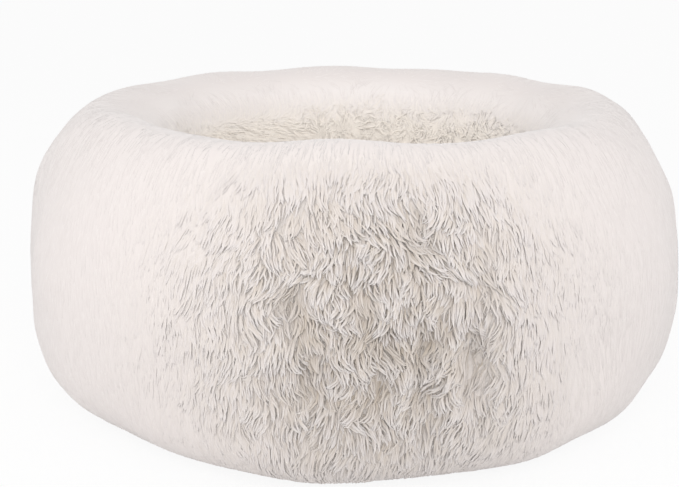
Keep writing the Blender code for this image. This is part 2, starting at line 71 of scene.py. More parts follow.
def soft_lamp(name, place, target, watts):
    """A square softbox that faces the target."""
    bpy.ops.object.light_add(type="AREA", location=place)
    lamp = bpy.context.object
    lamp.name = name
    lamp.data.size = LAMP_WIDTH
    lamp.data.energy = watts
    lamp.data.color = LAMP_WHITE
    aim = Vector(target) - Vector(place)
    lamp.rotation_euler = aim.to_track_quat("-Z", "Y").to_euler()


soft_lamp("left_softbox", place=(-1.25, -0.70, 0.75), target=(0.0, 0.0, 0.10), watts=4.0)
soft_lamp("right_softbox", place=(1.25, -0.65, 0.75), target=(0.0, 0.0, 0.10), watts=3.1)
soft_lamp("front_softbox", place=(0.0, -1.40, 1.00), target=(0.0, 0.10, 0.14), watts=7.2)


def add_node(tree, kind, inputs, **settings):
    """A shader node with its settings, each input given a value or fed from a socket."""
    node = tree.nodes.new("ShaderNode" + kind)
    for setting, value in settings.items():
        setattr(node, setting, value)
    for socket, value in inputs.items():
        if isinstance(value, bpy.types.NodeSocket):
            tree.links.new(value, node.inputs[socket])
        else:
            node.inputs[socket].default_value = value
    return node


def seen_white(tree, shaded, share, level):
    """Mix white into what the camera sees directly, in gloss and through glass."""
    path = add_node(tree, "LightPath", {})
    white_kind = "Background" if shaded.type == "BACKGROUND" else "Emission"
    white = add_node(tree, white_kind, {"Color": PURE_WHITE, "Strength": level})
    seen = path.outputs["Is Camera Ray"]
    for ray in ("Is Glossy Ray", "Is Transmission Ray"):
        either = add_node(tree, "Math", {0: seen, 1: path.outputs[ray]}, operation="MAXIMUM")
        seen = either.outputs[0]
    part = add_node(tree, "Math", {0: seen, 1: share}, operation="MULTIPLY")
    return add_node(
        tree, "MixShader", {0: part.outputs[0], 1: shaded.outputs[0], 2: white.outputs[0]})


studio = bpy.data.worlds.new("studio")
studio.use_nodes = True
room = studio.node_tree.nodes["Background"]
room.inputs["Color"].default_value = PURE_WHITE
room.inputs["Strength"].default_value = ROOM_LIGHT
room_seen = seen_white(studio.node_tree, room, share=1.0, level=1.0)
studio.node_tree.links.new(
    room_seen.outputs[0], studio.node_tree.nodes["World Output"].inputs["Surface"])
bpy.context.scene.world = studio

# Studio floor.
# A plain pale sheet of paper, wide enough to fill the picture. The camera sees it as
# white but for the bed's soft shadow.
PAPER_SIZE = 12.0
PAPER_DROP = 0.0002
PAPER_GREY = (0.75, 0.75, 0.75, 1.0)
PAPER_ROUGHNESS = 0.9
PAPER_WHITE_SHARE = 0.87
PAPER_WHITE_LEVEL = 1.03


def new_material(name):
    """A material with its node tree and its shader."""
    material = bpy.data.materials.new(name)
    material.use_nodes = True
    return material, material.node_tree, material.node_tree.nodes["Principled BSDF"]


bpy.ops.object.select_all(action="DESELECT")
bpy.ops.mesh.primitive_plane_add(size=PAPER_SIZE, location=(0.0, 0.0, -PAPER_DROP))
studio_floor = bpy.context.object
studio_floor.name = "studio_floor"
floor_paper, paper_tree, paper = new_material("studio_floor_paper")
paper.inputs["Base Color"].default_value = PAPER_GREY
paper.inputs["Roughness"].default_value = PAPER_ROUGHNESS
paper_seen = seen_white(paper_tree, paper, PAPER_WHITE_SHARE, PAPER_WHITE_LEVEL)
paper_tree.links.new(
    paper_seen.outputs[0], paper_tree.nodes["Material Output"].inputs["Surface"])
studio_floor.data.materials.append(floor_paper)

# Floor pad.
# A round bag of thin polyester cloth, stuffed with loose fibre. It lies in the
# middle of the cover and closes round the zip with a groove across its underside.
PAD_RADIUS = 0.1490
PAD_BOTTOM = 0.0046
PAD_TOP = 0.0322
PAD_ROUNDING = 0.0070
PAD_SIDES = 96
PAD_VOXEL = 0.005
PAD_SWELL = 0.0030
PAD_REACH = 0.1516
PAD_LOWEST = 0.0031
PAD_HIGHEST = 0.0347
GROOVE_TOP = 0.0116
GROOVE_HALF_WIDTH = 0.0220
GROOVE_SLOPE = 0.0045
BAG_CLOTH = 0.0006
FIBRE_GAP = 0.0008
STUFFING_PRESSURE = 4.0
STUFFING_FRAMES = 20
CLOTH_QUALITY = 4
CLOTH_EASE = 0.04


def only(piece):
    """Select this piece and nothing else."""
    bpy.ops.object.select_all(action="DESELECT")
    piece.select_set(True)
    bpy.context.view_layer.objects.active = piece


def points_of(piece):
    """The piece's points as rows of x, y and z."""
    rows = np.empty(len(piece.data.vertices) * 3)
    piece.data.vertices.foreach_get("co", rows)
    return rows.reshape(-1, 3)


def place_points(piece, rows):
    """Move the piece's points to the rows."""
    piece.data.vertices.foreach_set("co", rows.ravel())
    piece.data.update()


def shape_with(piece, kind, **settings):
    """Give the piece a modifier with these settings, and apply it."""
    only(piece)
    modifier = piece.modifiers.new(kind.lower(), kind)
    for setting, value in settings.items():
        setattr(modifier, setting, value)
    bpy.ops.object.modifier_apply(modifier=modifier.name)


def stuffed(bag, voxel, swell):
    """Remesh a bag finely and let cloth under pressure bulge, by no more than the swell."""
    only(bag)
    bag.data.remesh_voxel_size = voxel
    bpy.ops.object.voxel_remesh()
    before = points_of(bag)
    cloth = bag.modifiers.new("stuffing", "CLOTH")
    cloth.settings.quality = CLOTH_QUALITY
    cloth.settings.shrink_min = -CLOTH_EASE
    cloth.settings.use_pressure = True
    cloth.settings.uniform_pressure_force = STUFFING_PRESSURE
    cloth.settings.effector_weights.gravity = 0.0
    for frame_number in range(1, STUFFING_FRAMES + 1):
        bpy.context.scene.frame_set(frame_number)
    bpy.ops.object.modifier_apply(modifier="stuffing")
    bpy.context.scene.frame_set(1)
    moved = points_of(bag) - before
    length = np.linalg.norm(moved, axis=1, keepdims=True)
    moved *= np.minimum(1.0, swell / np.maximum(length, 1e-9))
    return before + moved


def fibre_inside(bag, name, depth, node):
    """The loose fibre inside a bag: the bag's own form, this far inside it."""
    only(bag)
    bpy.ops.object.duplicate()
    fibre = bpy.context.object
    fibre.name = name
    fibre.data.name = name
    normals = np.empty(len(fibre.data.vertices) * 3)
    fibre.data.vertices.foreach_get("normal", normals)
    place_points(fibre, points_of(fibre) - normals.reshape(-1, 3) * depth)
    fibre.data.materials.append(loose_fibre)
    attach(fibre, "bed")
    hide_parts(node)
    return fibre


def sewn_bag(bag, node):
    """Give the bag's skin its cloth thickness, inwards, and its liner cloth finish."""
    shape_with(bag, "SOLIDIFY", thickness=BAG_CLOTH, offset=-1.0)
    bpy.ops.object.shade_smooth()
    bag.data.materials.append(liner_cloth)
    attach(bag, "bed")
    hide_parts(node)


def colour_ramp(tree, fac, stops):
    """A ramp of colours through the stops, each a place and a colour."""
    ramp = add_node(tree, "ValToRGB", {"Fac": fac})
    first, *between, last = stops
    for element, (place, colour) in zip(ramp.color_ramp.elements, (first, last)):
        element.position = place
        element.color = (*colour, 1.0)
    for place, colour in between:
        ramp.color_ramp.elements.new(place).color = (*colour, 1.0)
    return ramp.outputs["Color"]


def noise_bump_material(name, pale, dark, scale, bump_depth, roughness, stretch=(1.0, 1.0, 1.0)):
    """A soft mottled finish: colour and bump from noise, stretched along the axes."""
    material, tree, shader = new_material(name)
    place = add_node(tree, "TexCoord", {})
    mapping = add_node(tree, "Mapping", {"Vector": place.outputs["Object"], "Scale": stretch})
    noise = add_node(tree, "TexNoise", {
        "Vector": mapping.outputs["Vector"], "Scale": scale, "Detail": 5.0})
    colour = colour_ramp(tree, noise.outputs["Fac"], ((0.3, dark), (0.7, pale)))
    bump = add_node(tree, "Bump", {
        "Height": noise.outputs["Fac"], "Strength": 0.7, "Distance": bump_depth})
    tree.links.new(colour, shader.inputs["Base Color"])
    tree.links.new(bump.outputs["Normal"], shader.inputs["Normal"])
    shader.inputs["Roughness"].default_value = roughness
    return material


liner_cloth = noise_bump_material(
    "liner_cloth", pale=(0.88, 0.88, 0.87), dark=(0.80, 0.80, 0.79),
    scale=900.0, bump_depth=0.0003, roughness=0.8)
loose_fibre = noise_bump_material(
    "polyester_fibre", pale=(0.93, 0.93, 0.93), dark=(0.80, 0.80, 0.80),
    scale=160.0, bump_depth=0.0020, roughness=0.9, stretch=(1.0, 1.0, 2.5))
loose_fibre.node_tree.nodes["Principled BSDF"].inputs["Sheen Weight"].default_value = 0.4

bpy.ops.object.select_all(action="DESELECT")
bpy.ops.mesh.primitive_cylinder_add(
    vertices=PAD_SIDES, radius=PAD_RADIUS, depth=PAD_TOP - PAD_BOTTOM,
    location=(0.0, 0.0, (PAD_TOP + PAD_BOTTOM) / 2))
floor_pad = bpy.context.object
floor_pad.name = "floor_pad_bag"
bpy.ops.object.transform_apply(location=True)
shape_with(floor_pad, "BEVEL", width=PAD_ROUNDING, segments=4)
rows = stuffed(floor_pad, PAD_VOXEL, PAD_SWELL)
beside = np.clip((np.abs(rows[:, 1]) - GROOVE_HALF_WIDTH) / GROOVE_SLOPE, 0.0, 1.0)
lowest = GROOVE_TOP + (PAD_LOWEST - GROOVE_TOP) * beside
rows[:, 2] = np.clip(rows[:, 2], lowest, PAD_HIGHEST)
reach = np.hypot(rows[:, 0], rows[:, 1])
rows[:, :2] *= np.minimum(1.0, PAD_REACH / np.maximum(reach, 1e-6))[:, None]
place_points(floor_pad, rows)
fibre_inside(floor_pad, "floor_pad_fibre", BAG_CLOTH + FIBRE_GAP, "floor_filling")
sewn_bag(floor_pad, "floor_liner")

# Stuffed ring.
# The wall's long tube of the same thin cloth, packed tight with loose fibre and
# flat where it stands on the base and where it meets the floor pad.
outer_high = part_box("outer_wall_fur")[1]
OUTER_RADIUS = outer_high[0]
WALL_TOP = outer_high[2]
WIDEST_HEIGHT = 0.094
THROAT_RADIUS = 0.126
THROAT_HEIGHT = 0.118
CREST_RADIUS = 0.1890
UNDERSIDE_RADIUS = 0.1830
FOOT_RADIUS = 0.146
FOOT_HEIGHT = 0.0465
BASE_SEAM_RADIUS = 0.2066
LOWER_OUTER_POWER = 3.47
UPPER_OUTER_POWER = 1.77
INNER_POWER = 2.0
OUTER_PILE = 0.018
INNER_PILE = 0.012
PILE_UNDERSIDE = 0.0012
BACKING_UNDERSIDE = 0.0030
CREST_SEAM_ANGLE = math.radians(54)
FOOT_ANGLE = math.radians(80)
CURVE_STEPS = 60
RING_INSET = 0.0036
RING_SWELL = 0.0022
RING_VOXEL = 0.007
RING_INNER_FOOT = 0.1560
RING_SIDES = 128
RING_THINNING = 8
RING_FIBRE_GAP = 0.0010


def quarter(centre, reach, power, start, end):
    """Points of a quarter of the wall's section, as (radius, height) rows."""
    angle = np.linspace(start, end, CURVE_STEPS)
    across = np.maximum(np.cos(angle), 0.0) ** (2.0 / power)
    upward = np.maximum(np.sin(angle), 0.0) ** (2.0 / power)
    return np.column_stack([centre[0] + reach[0] * across, centre[1] + reach[1] * upward])


def outer_section(inset, underside):
    """The outside of the wall, from the base seam up and over to the crest seam."""
    outer = OUTER_RADIUS - inset
    top = WALL_TOP - inset
    throat = THROAT_RADIUS + inset * INNER_PILE / OUTER_PILE
    share = (BASE_SEAM_RADIUS - UNDERSIDE_RADIUS) / (outer - UNDERSIDE_RADIUS)
    low = quarter(
        (UNDERSIDE_RADIUS, WIDEST_HEIGHT), (outer - UNDERSIDE_RADIUS, underside - WIDEST_HEIGHT),
        LOWER_OUTER_POWER, math.acos(share ** (LOWER_OUTER_POWER / 2)), 0.0)
    high = quarter(
        (CREST_RADIUS, WIDEST_HEIGHT), (outer - CREST_RADIUS, top - WIDEST_HEIGHT),
        UPPER_OUTER_POWER, 0.0, math.pi / 2)
    over = quarter(
        (CREST_RADIUS, THROAT_HEIGHT), (throat - CREST_RADIUS, top - THROAT_HEIGHT),
        INNER_POWER, math.pi / 2, CREST_SEAM_ANGLE)
    return np.vstack([low, high[1:], over[1:]])


def inner_section(inset, crest_inset):
    """The inside of the wall, from the crest seam down to its foot."""
    throat = THROAT_RADIUS + inset
    over = quarter(
        (CREST_RADIUS, THROAT_HEIGHT),
        (throat - CREST_RADIUS, WALL_TOP - crest_inset - THROAT_HEIGHT),
        INNER_POWER, CREST_SEAM_ANGLE, 0.0)
    under = quarter(
        (FOOT_RADIUS, THROAT_HEIGHT), (throat - FOOT_RADIUS, FOOT_HEIGHT + inset - THROAT_HEIGHT),
        INNER_POWER, 0.0, FOOT_ANGLE)
    return np.vstack([over, under[1:]])


def face_outwards(piece):
    """Turn all the faces of a piece outwards."""
    only(piece)
    bpy.ops.object.mode_set(mode="EDIT")
    bpy.ops.mesh.select_all(action="SELECT")
    bpy.ops.mesh.normals_make_consistent(inside=False)
    bpy.ops.object.mode_set(mode="OBJECT")


ring_outline = np.vstack([
    [[RING_INNER_FOOT, BACKING_UNDERSIDE + RING_SWELL]],
    outer_section(OUTER_PILE + RING_INSET, BACKING_UNDERSIDE + RING_SWELL)[::RING_THINNING],
    inner_section(INNER_PILE + RING_INSET, OUTER_PILE + RING_INSET)[::RING_THINNING],
])
bpy.ops.object.select_all(action="DESELECT")
bpy.ops.mesh.primitive_torus_add(
    major_radius=CREST_RADIUS, minor_radius=INNER_PILE,
    major_segments=RING_SIDES, minor_segments=len(ring_outline))
rim_bag = bpy.context.object
rim_bag.name = "rim_bag"
turns = np.repeat(np.arange(RING_SIDES) * 2 * math.pi / RING_SIDES, len(ring_outline))
spread = np.tile(ring_outline, (RING_SIDES, 1))
place_points(rim_bag, np.column_stack([
    spread[:, 0] * np.cos(turns), spread[:, 0] * np.sin(turns), spread[:, 1]]))
face_outwards(rim_bag)
place_points(rim_bag, stuffed(rim_bag, RING_VOXEL, RING_SWELL))
rim_fibre = fibre_inside(rim_bag, "rim_fibre", BAG_CLOTH + RING_FIBRE_GAP, "rim_filling")
only(rim_fibre)
bpy.ops.object.shade_smooth()
sewn_bag(rim_bag, "rim_liner")

# Base panels.
# Two half discs of tight plain-woven polyester, coated inside, which meet along the
# middle of the underside and stand back from each other where the zip is sewn in.
PANEL_RADIUS = 0.2046
PANEL_BOTTOM = 0.0012
PANEL_CLOTH = 0.0012
PANEL_EDGE = 0.0004
PANEL_MEETING = 0.0003
SLOT_HALF_WIDTH = 0.0135
SLOT_HALF_LENGTH = 0.1503
SLOT_CORNER = 0.004
ARC_STEPS = 96
CORNER_STEPS = 6
WEAVE_PITCH = 0.0009
MOTTLE_SCALE = 40.0
MOTTLE_SHARE = 0.35
# A wave texture's bands are this far apart at a scale of 1.
WAVE_PERIOD = 0.314


def woven_material(name, colour, shade, pitch, roughness, depth):
    """Plain weave along X and Y: threads that pass over and under each other."""
    material, tree, shader = new_material(name)
    place = add_node(tree, "TexCoord", {}).outputs["Object"]
    threads = []
    for direction in ("X", "Y"):
        thread = add_node(tree, "TexWave", {
            "Vector": place, "Scale": WAVE_PERIOD / pitch, "Distortion": 0.4,
            "Detail Scale": 2.0}, bands_direction=direction)
        threads.append(thread.outputs["Fac"])
    over = add_node(tree, "TexChecker", {"Vector": place, "Scale": 1.0 / pitch})
    weave = add_node(tree, "Mix", {
        "Factor": over.outputs["Fac"], "A": threads[0], "B": threads[1]})
    mottle = add_node(tree, "TexNoise", {
        "Vector": place, "Scale": MOTTLE_SCALE, "Detail": 3.0})
    tint = add_node(tree, "Math", {
        0: mottle.outputs["Fac"], 1: MOTTLE_SHARE, 2: weave.outputs["Result"]},
        operation="MULTIPLY_ADD")
    tinted = colour_ramp(tree, tint.outputs[0], ((0.15, shade), (0.75, colour)))
    bump = add_node(tree, "Bump", {
        "Height": weave.outputs["Result"], "Strength": 0.6, "Distance": depth})
    tree.links.new(tinted, shader.inputs["Base Color"])
    tree.links.new(bump.outputs["Normal"], shader.inputs["Normal"])
    shader.inputs["Roughness"].default_value = roughness
    return material


def new_piece(name, points, faces, material):
    """A piece from its points and faces, in this material."""
    mesh = bpy.data.meshes.new(name)
    mesh.from_pydata(np.asarray(points).tolist(), [], faces)
    mesh.materials.append(material)
    piece = bpy.data.objects.new(name, mesh)
    bpy.context.collection.objects.link(piece)
    return piece


base_cloth = woven_material(
    "base_cloth", colour=(0.80, 0.78, 0.74), shade=(0.60, 0.58, 0.54),
    pitch=WEAVE_PITCH, roughness=0.75, depth=0.0002)


def base_panel(name, side, node):
    """Half of the bottom disc, with rounded corners in the slot for the zip."""
    half_turn = np.linspace(0.0, math.pi, ARC_STEPS + 1)
    arc = np.column_stack([
        PANEL_RADIUS * np.cos(half_turn),
        np.maximum(PANEL_RADIUS * np.sin(half_turn), PANEL_MEETING)])
    bend = np.linspace(0.0, math.pi / 2, CORNER_STEPS)
    inset = SLOT_HALF_LENGTH - SLOT_CORNER
    rise = SLOT_HALF_WIDTH - SLOT_CORNER
    left = np.column_stack([
        -inset - SLOT_CORNER * np.cos(bend), rise + SLOT_CORNER * np.sin(bend)])
    right = np.column_stack([
        inset + SLOT_CORNER * np.sin(bend), rise + SLOT_CORNER * np.cos(bend)])
    slot_run = np.vstack([
        [[-SLOT_HALF_LENGTH, PANEL_MEETING]], left, right, [[SLOT_HALF_LENGTH, PANEL_MEETING]]])
    outline = np.vstack([arc, slot_run])
    rows = np.column_stack([outline[:, 0], side * outline[:, 1], np.full(len(outline), PANEL_BOTTOM)])
    panel = new_piece(name, rows, [tuple(range(len(rows)))], base_cloth)
    only(panel)
    bpy.ops.object.mode_set(mode="EDIT")
    bpy.ops.mesh.select_all(action="SELECT")
    bpy.ops.mesh.extrude_region_move(TRANSFORM_OT_translate={"value": (0.0, 0.0, PANEL_CLOTH)})
    bpy.ops.object.mode_set(mode="OBJECT")
    face_outwards(panel)
    shape_with(panel, "BEVEL", width=PANEL_EDGE, segments=2, angle_limit=math.radians(60))
    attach(panel, "bed")
    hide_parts(node)
    return panel


front_cloth = base_panel("base_cloth_front", -1, "base_panel_front")
back_cloth = base_panel("base_cloth_back", 1, "base_panel_back")

# Grip dots.
# Drops of clear-grey rubber printed on the base cloth in staggered rows; the bed
# stands on their tips, worn a little flat.
DOT_PITCH = 0.036
DOT_HEIGHT = 0.0012
DOT_FOOT_RADIUS = 0.0030
DOT_TIP_RADIUS = 0.0013
DOT_MARGIN = 0.0045
DOT_SINK = 0.0003
DOT_ROUNDING = 0.0007
DOT_SIDES = 14


def grip_dots(name, side, node):
    """The rubber dots of one half of the base, on its cloth."""
    row_step = DOT_PITCH * math.sqrt(3) / 2
    reach = PANEL_RADIUS - DOT_FOOT_RADIUS - DOT_MARGIN
    first_row = SLOT_HALF_WIDTH + DOT_FOOT_RADIUS + DOT_MARGIN
    bpy.ops.object.select_all(action="DESELECT")
    bpy.ops.mesh.primitive_cone_add(
        vertices=DOT_SIDES, radius1=DOT_TIP_RADIUS, radius2=DOT_FOOT_RADIUS,
        depth=DOT_HEIGHT + DOT_SINK, location=(0.0, 0.0, 0.0))
    drop = bpy.context.object
    shape_with(drop, "BEVEL", width=DOT_ROUNDING, segments=2, angle_limit=math.radians(35))
    bpy.ops.object.shade_smooth()
    one = points_of(drop) + np.array([0.0, 0.0, (DOT_HEIGHT + DOT_SINK) / 2])
    faces = [tuple(face.vertices) for face in drop.data.polygons]
    bpy.data.objects.remove(drop)
    rows, all_faces = [], []
    columns = int(reach / DOT_PITCH) + 1
    for row in range(int((reach - first_row) / row_step) + 1):
        y = first_row + row * row_step
        for column in range(-columns, columns + 1):
            x = column * DOT_PITCH + DOT_PITCH / 2 * (row % 2)
            if math.hypot(x, y) > reach:
                continue
            start = len(rows) * len(one)
            rows.append(one + np.array([x, side * y, 0.0]))
            all_faces += [tuple(v + start for v in face) for face in faces]
    dots = new_piece(name, np.vstack(rows), all_faces, dot_rubber)
    dots.data.shade_smooth()
    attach(dots, "bed")
    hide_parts(node)


dot_rubber = noise_bump_material(
    "grip_rubber", pale=(0.74, 0.73, 0.70), dark=(0.66, 0.65, 0.62),
    scale=500.0, bump_depth=0.0001, roughness=0.45)
grip_dots("grip_dots_front", -1, "base_panel_front")
grip_dots("grip_dots_back", 1, "base_panel_back")

# Zip tapes.
# Polyester tape, ribbed along its length. The CAD tapes keep their shape: sewn flat
# to the base cloth, then rising into the groove under the pad.
RIB_PITCH = 0.0010
tape_cloth = woven_material(
    "zip_tape", colour=(0.82, 0.80, 0.76), shade=(0.58, 0.56, 0.52),
    pitch=RIB_PITCH, roughness=0.7, depth=0.00025)


def refinish(node, material):
    """Give a CAD node that stays its real finish."""
    piece = bpy.data.objects[node]
    piece.data.materials.clear()
    piece.data.materials.append(material)


refinish("zip_tape_front", tape_cloth)
refinish("zip_tape_back", tape_cloth)

# Zip end tabs.
# A folded bit of the same tape closes each end of the slot: it stands close behind
# the tapes' ends and turns outwards over the base cloth, where it is sewn down.
TAB_WIDTH = 0.0264
TAB_CLOTH = 0.0006
TAB_TOP = 0.0093
TAB_FOLD_RADIUS = 0.0008
TAB_LAP = 0.0022
TAB_GAP = 0.0001
TAB_FOLD_STEPS = 6
TAB_COLUMNS = 13


def grid_faces(rows, columns, closed):
    """Faces between rows of points; closed rows join their last point to their first."""
    faces = []
    for row in range(rows - 1):
        for column in range(columns if closed else columns - 1):
            low = row * columns + column
            after = row * columns + (column + 1) % columns
            faces.append((low, after, after + columns, low + columns))
    return faces


def zip_end_tab(name, side):
    """One tab, its upright and its lap drawn as a line and spread across the slot."""
    upright = SLOT_HALF_LENGTH + TAB_GAP + TAB_CLOTH / 2
    level = PANEL_BOTTOM + PANEL_CLOTH + TAB_GAP + TAB_CLOTH / 2
    bend = np.linspace(0.0, math.pi / 2, TAB_FOLD_STEPS)
    fold = np.column_stack([
        upright + TAB_FOLD_RADIUS * (1.0 - np.cos(bend)),
        level + TAB_FOLD_RADIUS * (1.0 - np.sin(bend))])
    line = np.vstack([[[upright, TAB_TOP]], fold, [[fold[-1, 0] + TAB_LAP, level]]])
    across = np.linspace(-TAB_WIDTH / 2, TAB_WIDTH / 2, TAB_COLUMNS)
    rows = [(side * x, y, z) for x, z in line for y in across]
    faces = grid_faces(len(line), TAB_COLUMNS, closed=False)
    tab = new_piece(name, rows, faces, tape_cloth)
    face_outwards(tab)
    shape_with(tab, "SOLIDIFY", thickness=TAB_CLOTH, offset=0.0)
    bpy.ops.object.shade_smooth_by_angle(angle=math.radians(40))
    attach(tab, "bed")


zip_end_tab("zip_end_tab_left", -1)
zip_end_tab("zip_end_tab_right", 1)

# Zip coils.
# Each row is one nylon monofilament wound into a flattened coil and sewn under the
# tape's edge; the two rows' turns lie between each other.
COIL_START = -0.1228
COIL_END = 0.1196
COIL_PITCH = 0.0015
COIL_WIRE = 0.00030
COIL_CENTRE = 0.00125
COIL_HALF_WIDTH = 0.00100
COIL_HEIGHT = 0.00715
COIL_HALF_HEIGHT = 0.00074
COIL_TURN_STEPS = 10
COIL_RUN_SHARE = 0.995
WIRE_SIDES = 6
# Any way that no wire or thread runs, to start the rings of its skin from.
ASKEW = (0.31, 0.17, 0.93)


def swept(path, radius, sides):
    """A closed round wire along a path of points, as vertices and faces."""
    path = np.asarray(path, dtype=float)
    way = np.gradient(path, axis=0)
    way /= np.linalg.norm(way, axis=1, keepdims=True)
    count = len(path)
    radius = np.broadcast_to(radius, count)
    side = np.cross(way[0], ASKEW)
    rings = []
    for step in range(count):
        side = side - way[step] * np.dot(side, way[step])
        side /= np.linalg.norm(side)
        other = np.cross(way[step], side)
        angle = np.arange(sides) * 2 * math.pi / sides
        ring = np.cos(angle)[:, None] * side + np.sin(angle)[:, None] * other
        rings.append(path[step] + ring * radius[step])
    faces = grid_faces(count, sides, closed=True)
    faces.append(tuple(range(sides))[::-1])
    faces.append(tuple(range((count - 1) * sides, count * sides)))
    return np.vstack(rings), faces


nylon = noise_bump_material(
    "zip_coil_nylon", pale=(0.83, 0.81, 0.77), dark=(0.76, 0.74, 0.70),
    scale=700.0, bump_depth=0.00005, roughness=0.35)


def zip_coil(name, side, offset, node):
    """One row of turns, flattened, beside the middle of the chain."""
    turns = (COIL_END - COIL_START) / COIL_PITCH
    angle = np.linspace(0.0, 2 * math.pi * turns, int(turns * COIL_TURN_STEPS))
    along = COIL_START + (COIL_END - COIL_START) * angle / angle[-1] * COIL_RUN_SHARE + offset
    path = np.column_stack([
        along, side * (COIL_CENTRE - COIL_HALF_WIDTH * np.cos(angle)),
        COIL_HEIGHT + COIL_HALF_HEIGHT * np.sin(angle)])
    rows, faces = swept(path, COIL_WIRE, WIRE_SIDES)
    coil = new_piece(name, rows, faces, nylon)
    face_outwards(coil)
    bpy.ops.object.shade_smooth()
    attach(coil, "bed")
    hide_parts(node)


zip_coil("wound_coil_front", -1, 0.0, "zip_coil_front")
zip_coil("wound_coil_back", 1, COIL_PITCH / 2, "zip_coil_back")

# Zip metal.
# Stops, slider and pull are die-cast and nickel-plated, tumbled to a satin shine
# with fine rub marks. Their CAD shapes are right and stay.
zip_metal = noise_bump_material(
    "zip_metal", pale=(0.66, 0.66, 0.67), dark=(0.54, 0.54, 0.55),
    scale=900.0, bump_depth=0.00004, roughness=0.34, stretch=(1.0, 3.0, 3.0))
zip_metal.node_tree.nodes["Principled BSDF"].inputs["Metallic"].default_value = 1.0
for metal_node in ("zip_stop_closed_end", "zip_stop_open_end", "zip_slider", "zip_pull"):
    refinish(metal_node, zip_metal)

# Seams.
# Lock stitch in twisted polyester thread: round the base, round the crest where the
# long and the short pile meet, round the floor, and along both sides of the zip.
THREAD_RADIUS = 0.00042
STITCH_LENGTH = 0.0034
STITCH_STEP = 0.0042
STITCH_SIDES = 6
STITCH_MAP_EDGE = 0.05
STITCH_RISE = np.array([-1.2, 0.5, 0.9, 0.5, -1.2])
STITCH_GIRTH = np.array([0.6, 1.0, 1.0, 1.0, 0.6])


def thread_material():
    """Twisted thread: its ply runs slantwise round each stitch's own map."""
    material, tree, shader = new_material("sewing_thread")
    chart = add_node(tree, "UVMap", {}, uv_map="OFBake")
    slant = add_node(tree, "TexWave", {
        "Vector": chart.outputs["UV"], "Scale": 1.6, "Distortion": 0.0},
        bands_direction="DIAGONAL")
    colour = colour_ramp(
        tree, slant.outputs["Fac"], ((0.0, (0.66, 0.64, 0.60)), (1.0, (0.86, 0.84, 0.80))))
    tree.links.new(colour, shader.inputs["Base Color"])
    shader.inputs["Roughness"].default_value = 0.5
    return material


def map_points(piece, places):
    """Give each corner of the piece its point's place on the map."""
    corners = np.empty(len(piece.data.loops), dtype=np.int32)
    piece.data.loops.foreach_get("vertex_index", corners)
    chart = piece.data.uv_layers.new(name="OFBake")
    chart.data.foreach_set("uv", places[corners].astype(np.float32).ravel())


sewing_thread = thread_material()


def stitched(name, places, ways, outs, node):
    """A row of stitches: short arches of thread that dip into the cloth at both ends."""
    rings = len(STITCH_RISE)
    share = np.linspace(-0.5, 0.5, rings)
    unit_path = np.column_stack([share * STITCH_LENGTH, np.zeros(rings), STITCH_RISE * THREAD_RADIUS])
    one, faces = swept(unit_path, STITCH_GIRTH * THREAD_RADIUS, STITCH_SIDES)
    sides = np.cross(outs, ways)
    rows = (places[:, None, :] + one[None, :, :1] * ways[:, None, :]
            + one[None, :, 1:2] * sides[:, None, :] + one[None, :, 2:] * outs[:, None, :])
    count = len(one)
    all_faces = [tuple(v + k * count for v in face) for k in range(len(places)) for face in faces]
    seam = new_piece(name, rows.reshape(-1, 3), all_faces, sewing_thread)
    seam.data.shade_smooth()
    ring = np.arange(count) // STITCH_SIDES
    around = np.arange(count) % STITCH_SIDES
    span = 1.0 - 2 * STITCH_MAP_EDGE
    flat = STITCH_MAP_EDGE + np.column_stack([span * ring / (rings - 1), span * around / STITCH_SIDES])
    map_points(seam, np.tile(flat, (len(places), 1)))
    face_outwards(seam)
    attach(seam, "bed")
    if node:
        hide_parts(node)


def ring_seam(name, radius, height, facing, node):
    """Stitches all the way round, facing outwards and upwards by the two given shares."""
    count = int(2 * math.pi * radius / STITCH_STEP)
    turn = np.arange(count) * 2 * math.pi / count
    zero = np.zeros(count)
    away = np.column_stack([np.cos(turn), np.sin(turn), zero])
    ways = np.column_stack([-np.sin(turn), np.cos(turn), zero])
    up = np.array([0.0, 0.0, 1.0])
    stitched(name, away * radius + up * height, ways, away * facing[0] + up * facing[1], node)


ring_seam(
    "base_seam_stitches", radius=0.2056, height=0.00165, facing=(0.0, -1.0),
    node="base_seam_thread")
ring_seam(
    "floor_seam_stitches", radius=0.1493, height=0.0470, facing=(0.0, 1.0),
    node="floor_seam_thread")
ring_seam(
    "crest_seam_stitches", radius=0.1590, height=0.1793, facing=(-0.55, 0.83),
    node="crest_seam_thread")

TOPSTITCH_LINE = 0.0170
TOPSTITCH_HALF_LENGTH = 0.1480
TOPSTITCH_SINK = 0.0001
for row_name, row_side in (("zip_topstitch_front", -1.0), ("zip_topstitch_back", 1.0)):
    count = int(2 * TOPSTITCH_HALF_LENGTH / STITCH_STEP)
    along = np.linspace(-TOPSTITCH_HALF_LENGTH, TOPSTITCH_HALF_LENGTH, count)
    places = np.column_stack([
        along, np.full(count, row_side * TOPSTITCH_LINE),
        np.full(count, PANEL_BOTTOM + TOPSTITCH_SINK)])
    stitched(
        row_name, places, np.tile([1.0, 0.0, 0.0], (count, 1)),
        np.tile([0.0, 0.0, -1.0], (count, 1)), None)

# Wall cover underfur.
# The plush strips of the wall cover, one up the outside and over the crest and one
# down the inside: the dense short fibres under the locks, as one soft closed sheet.

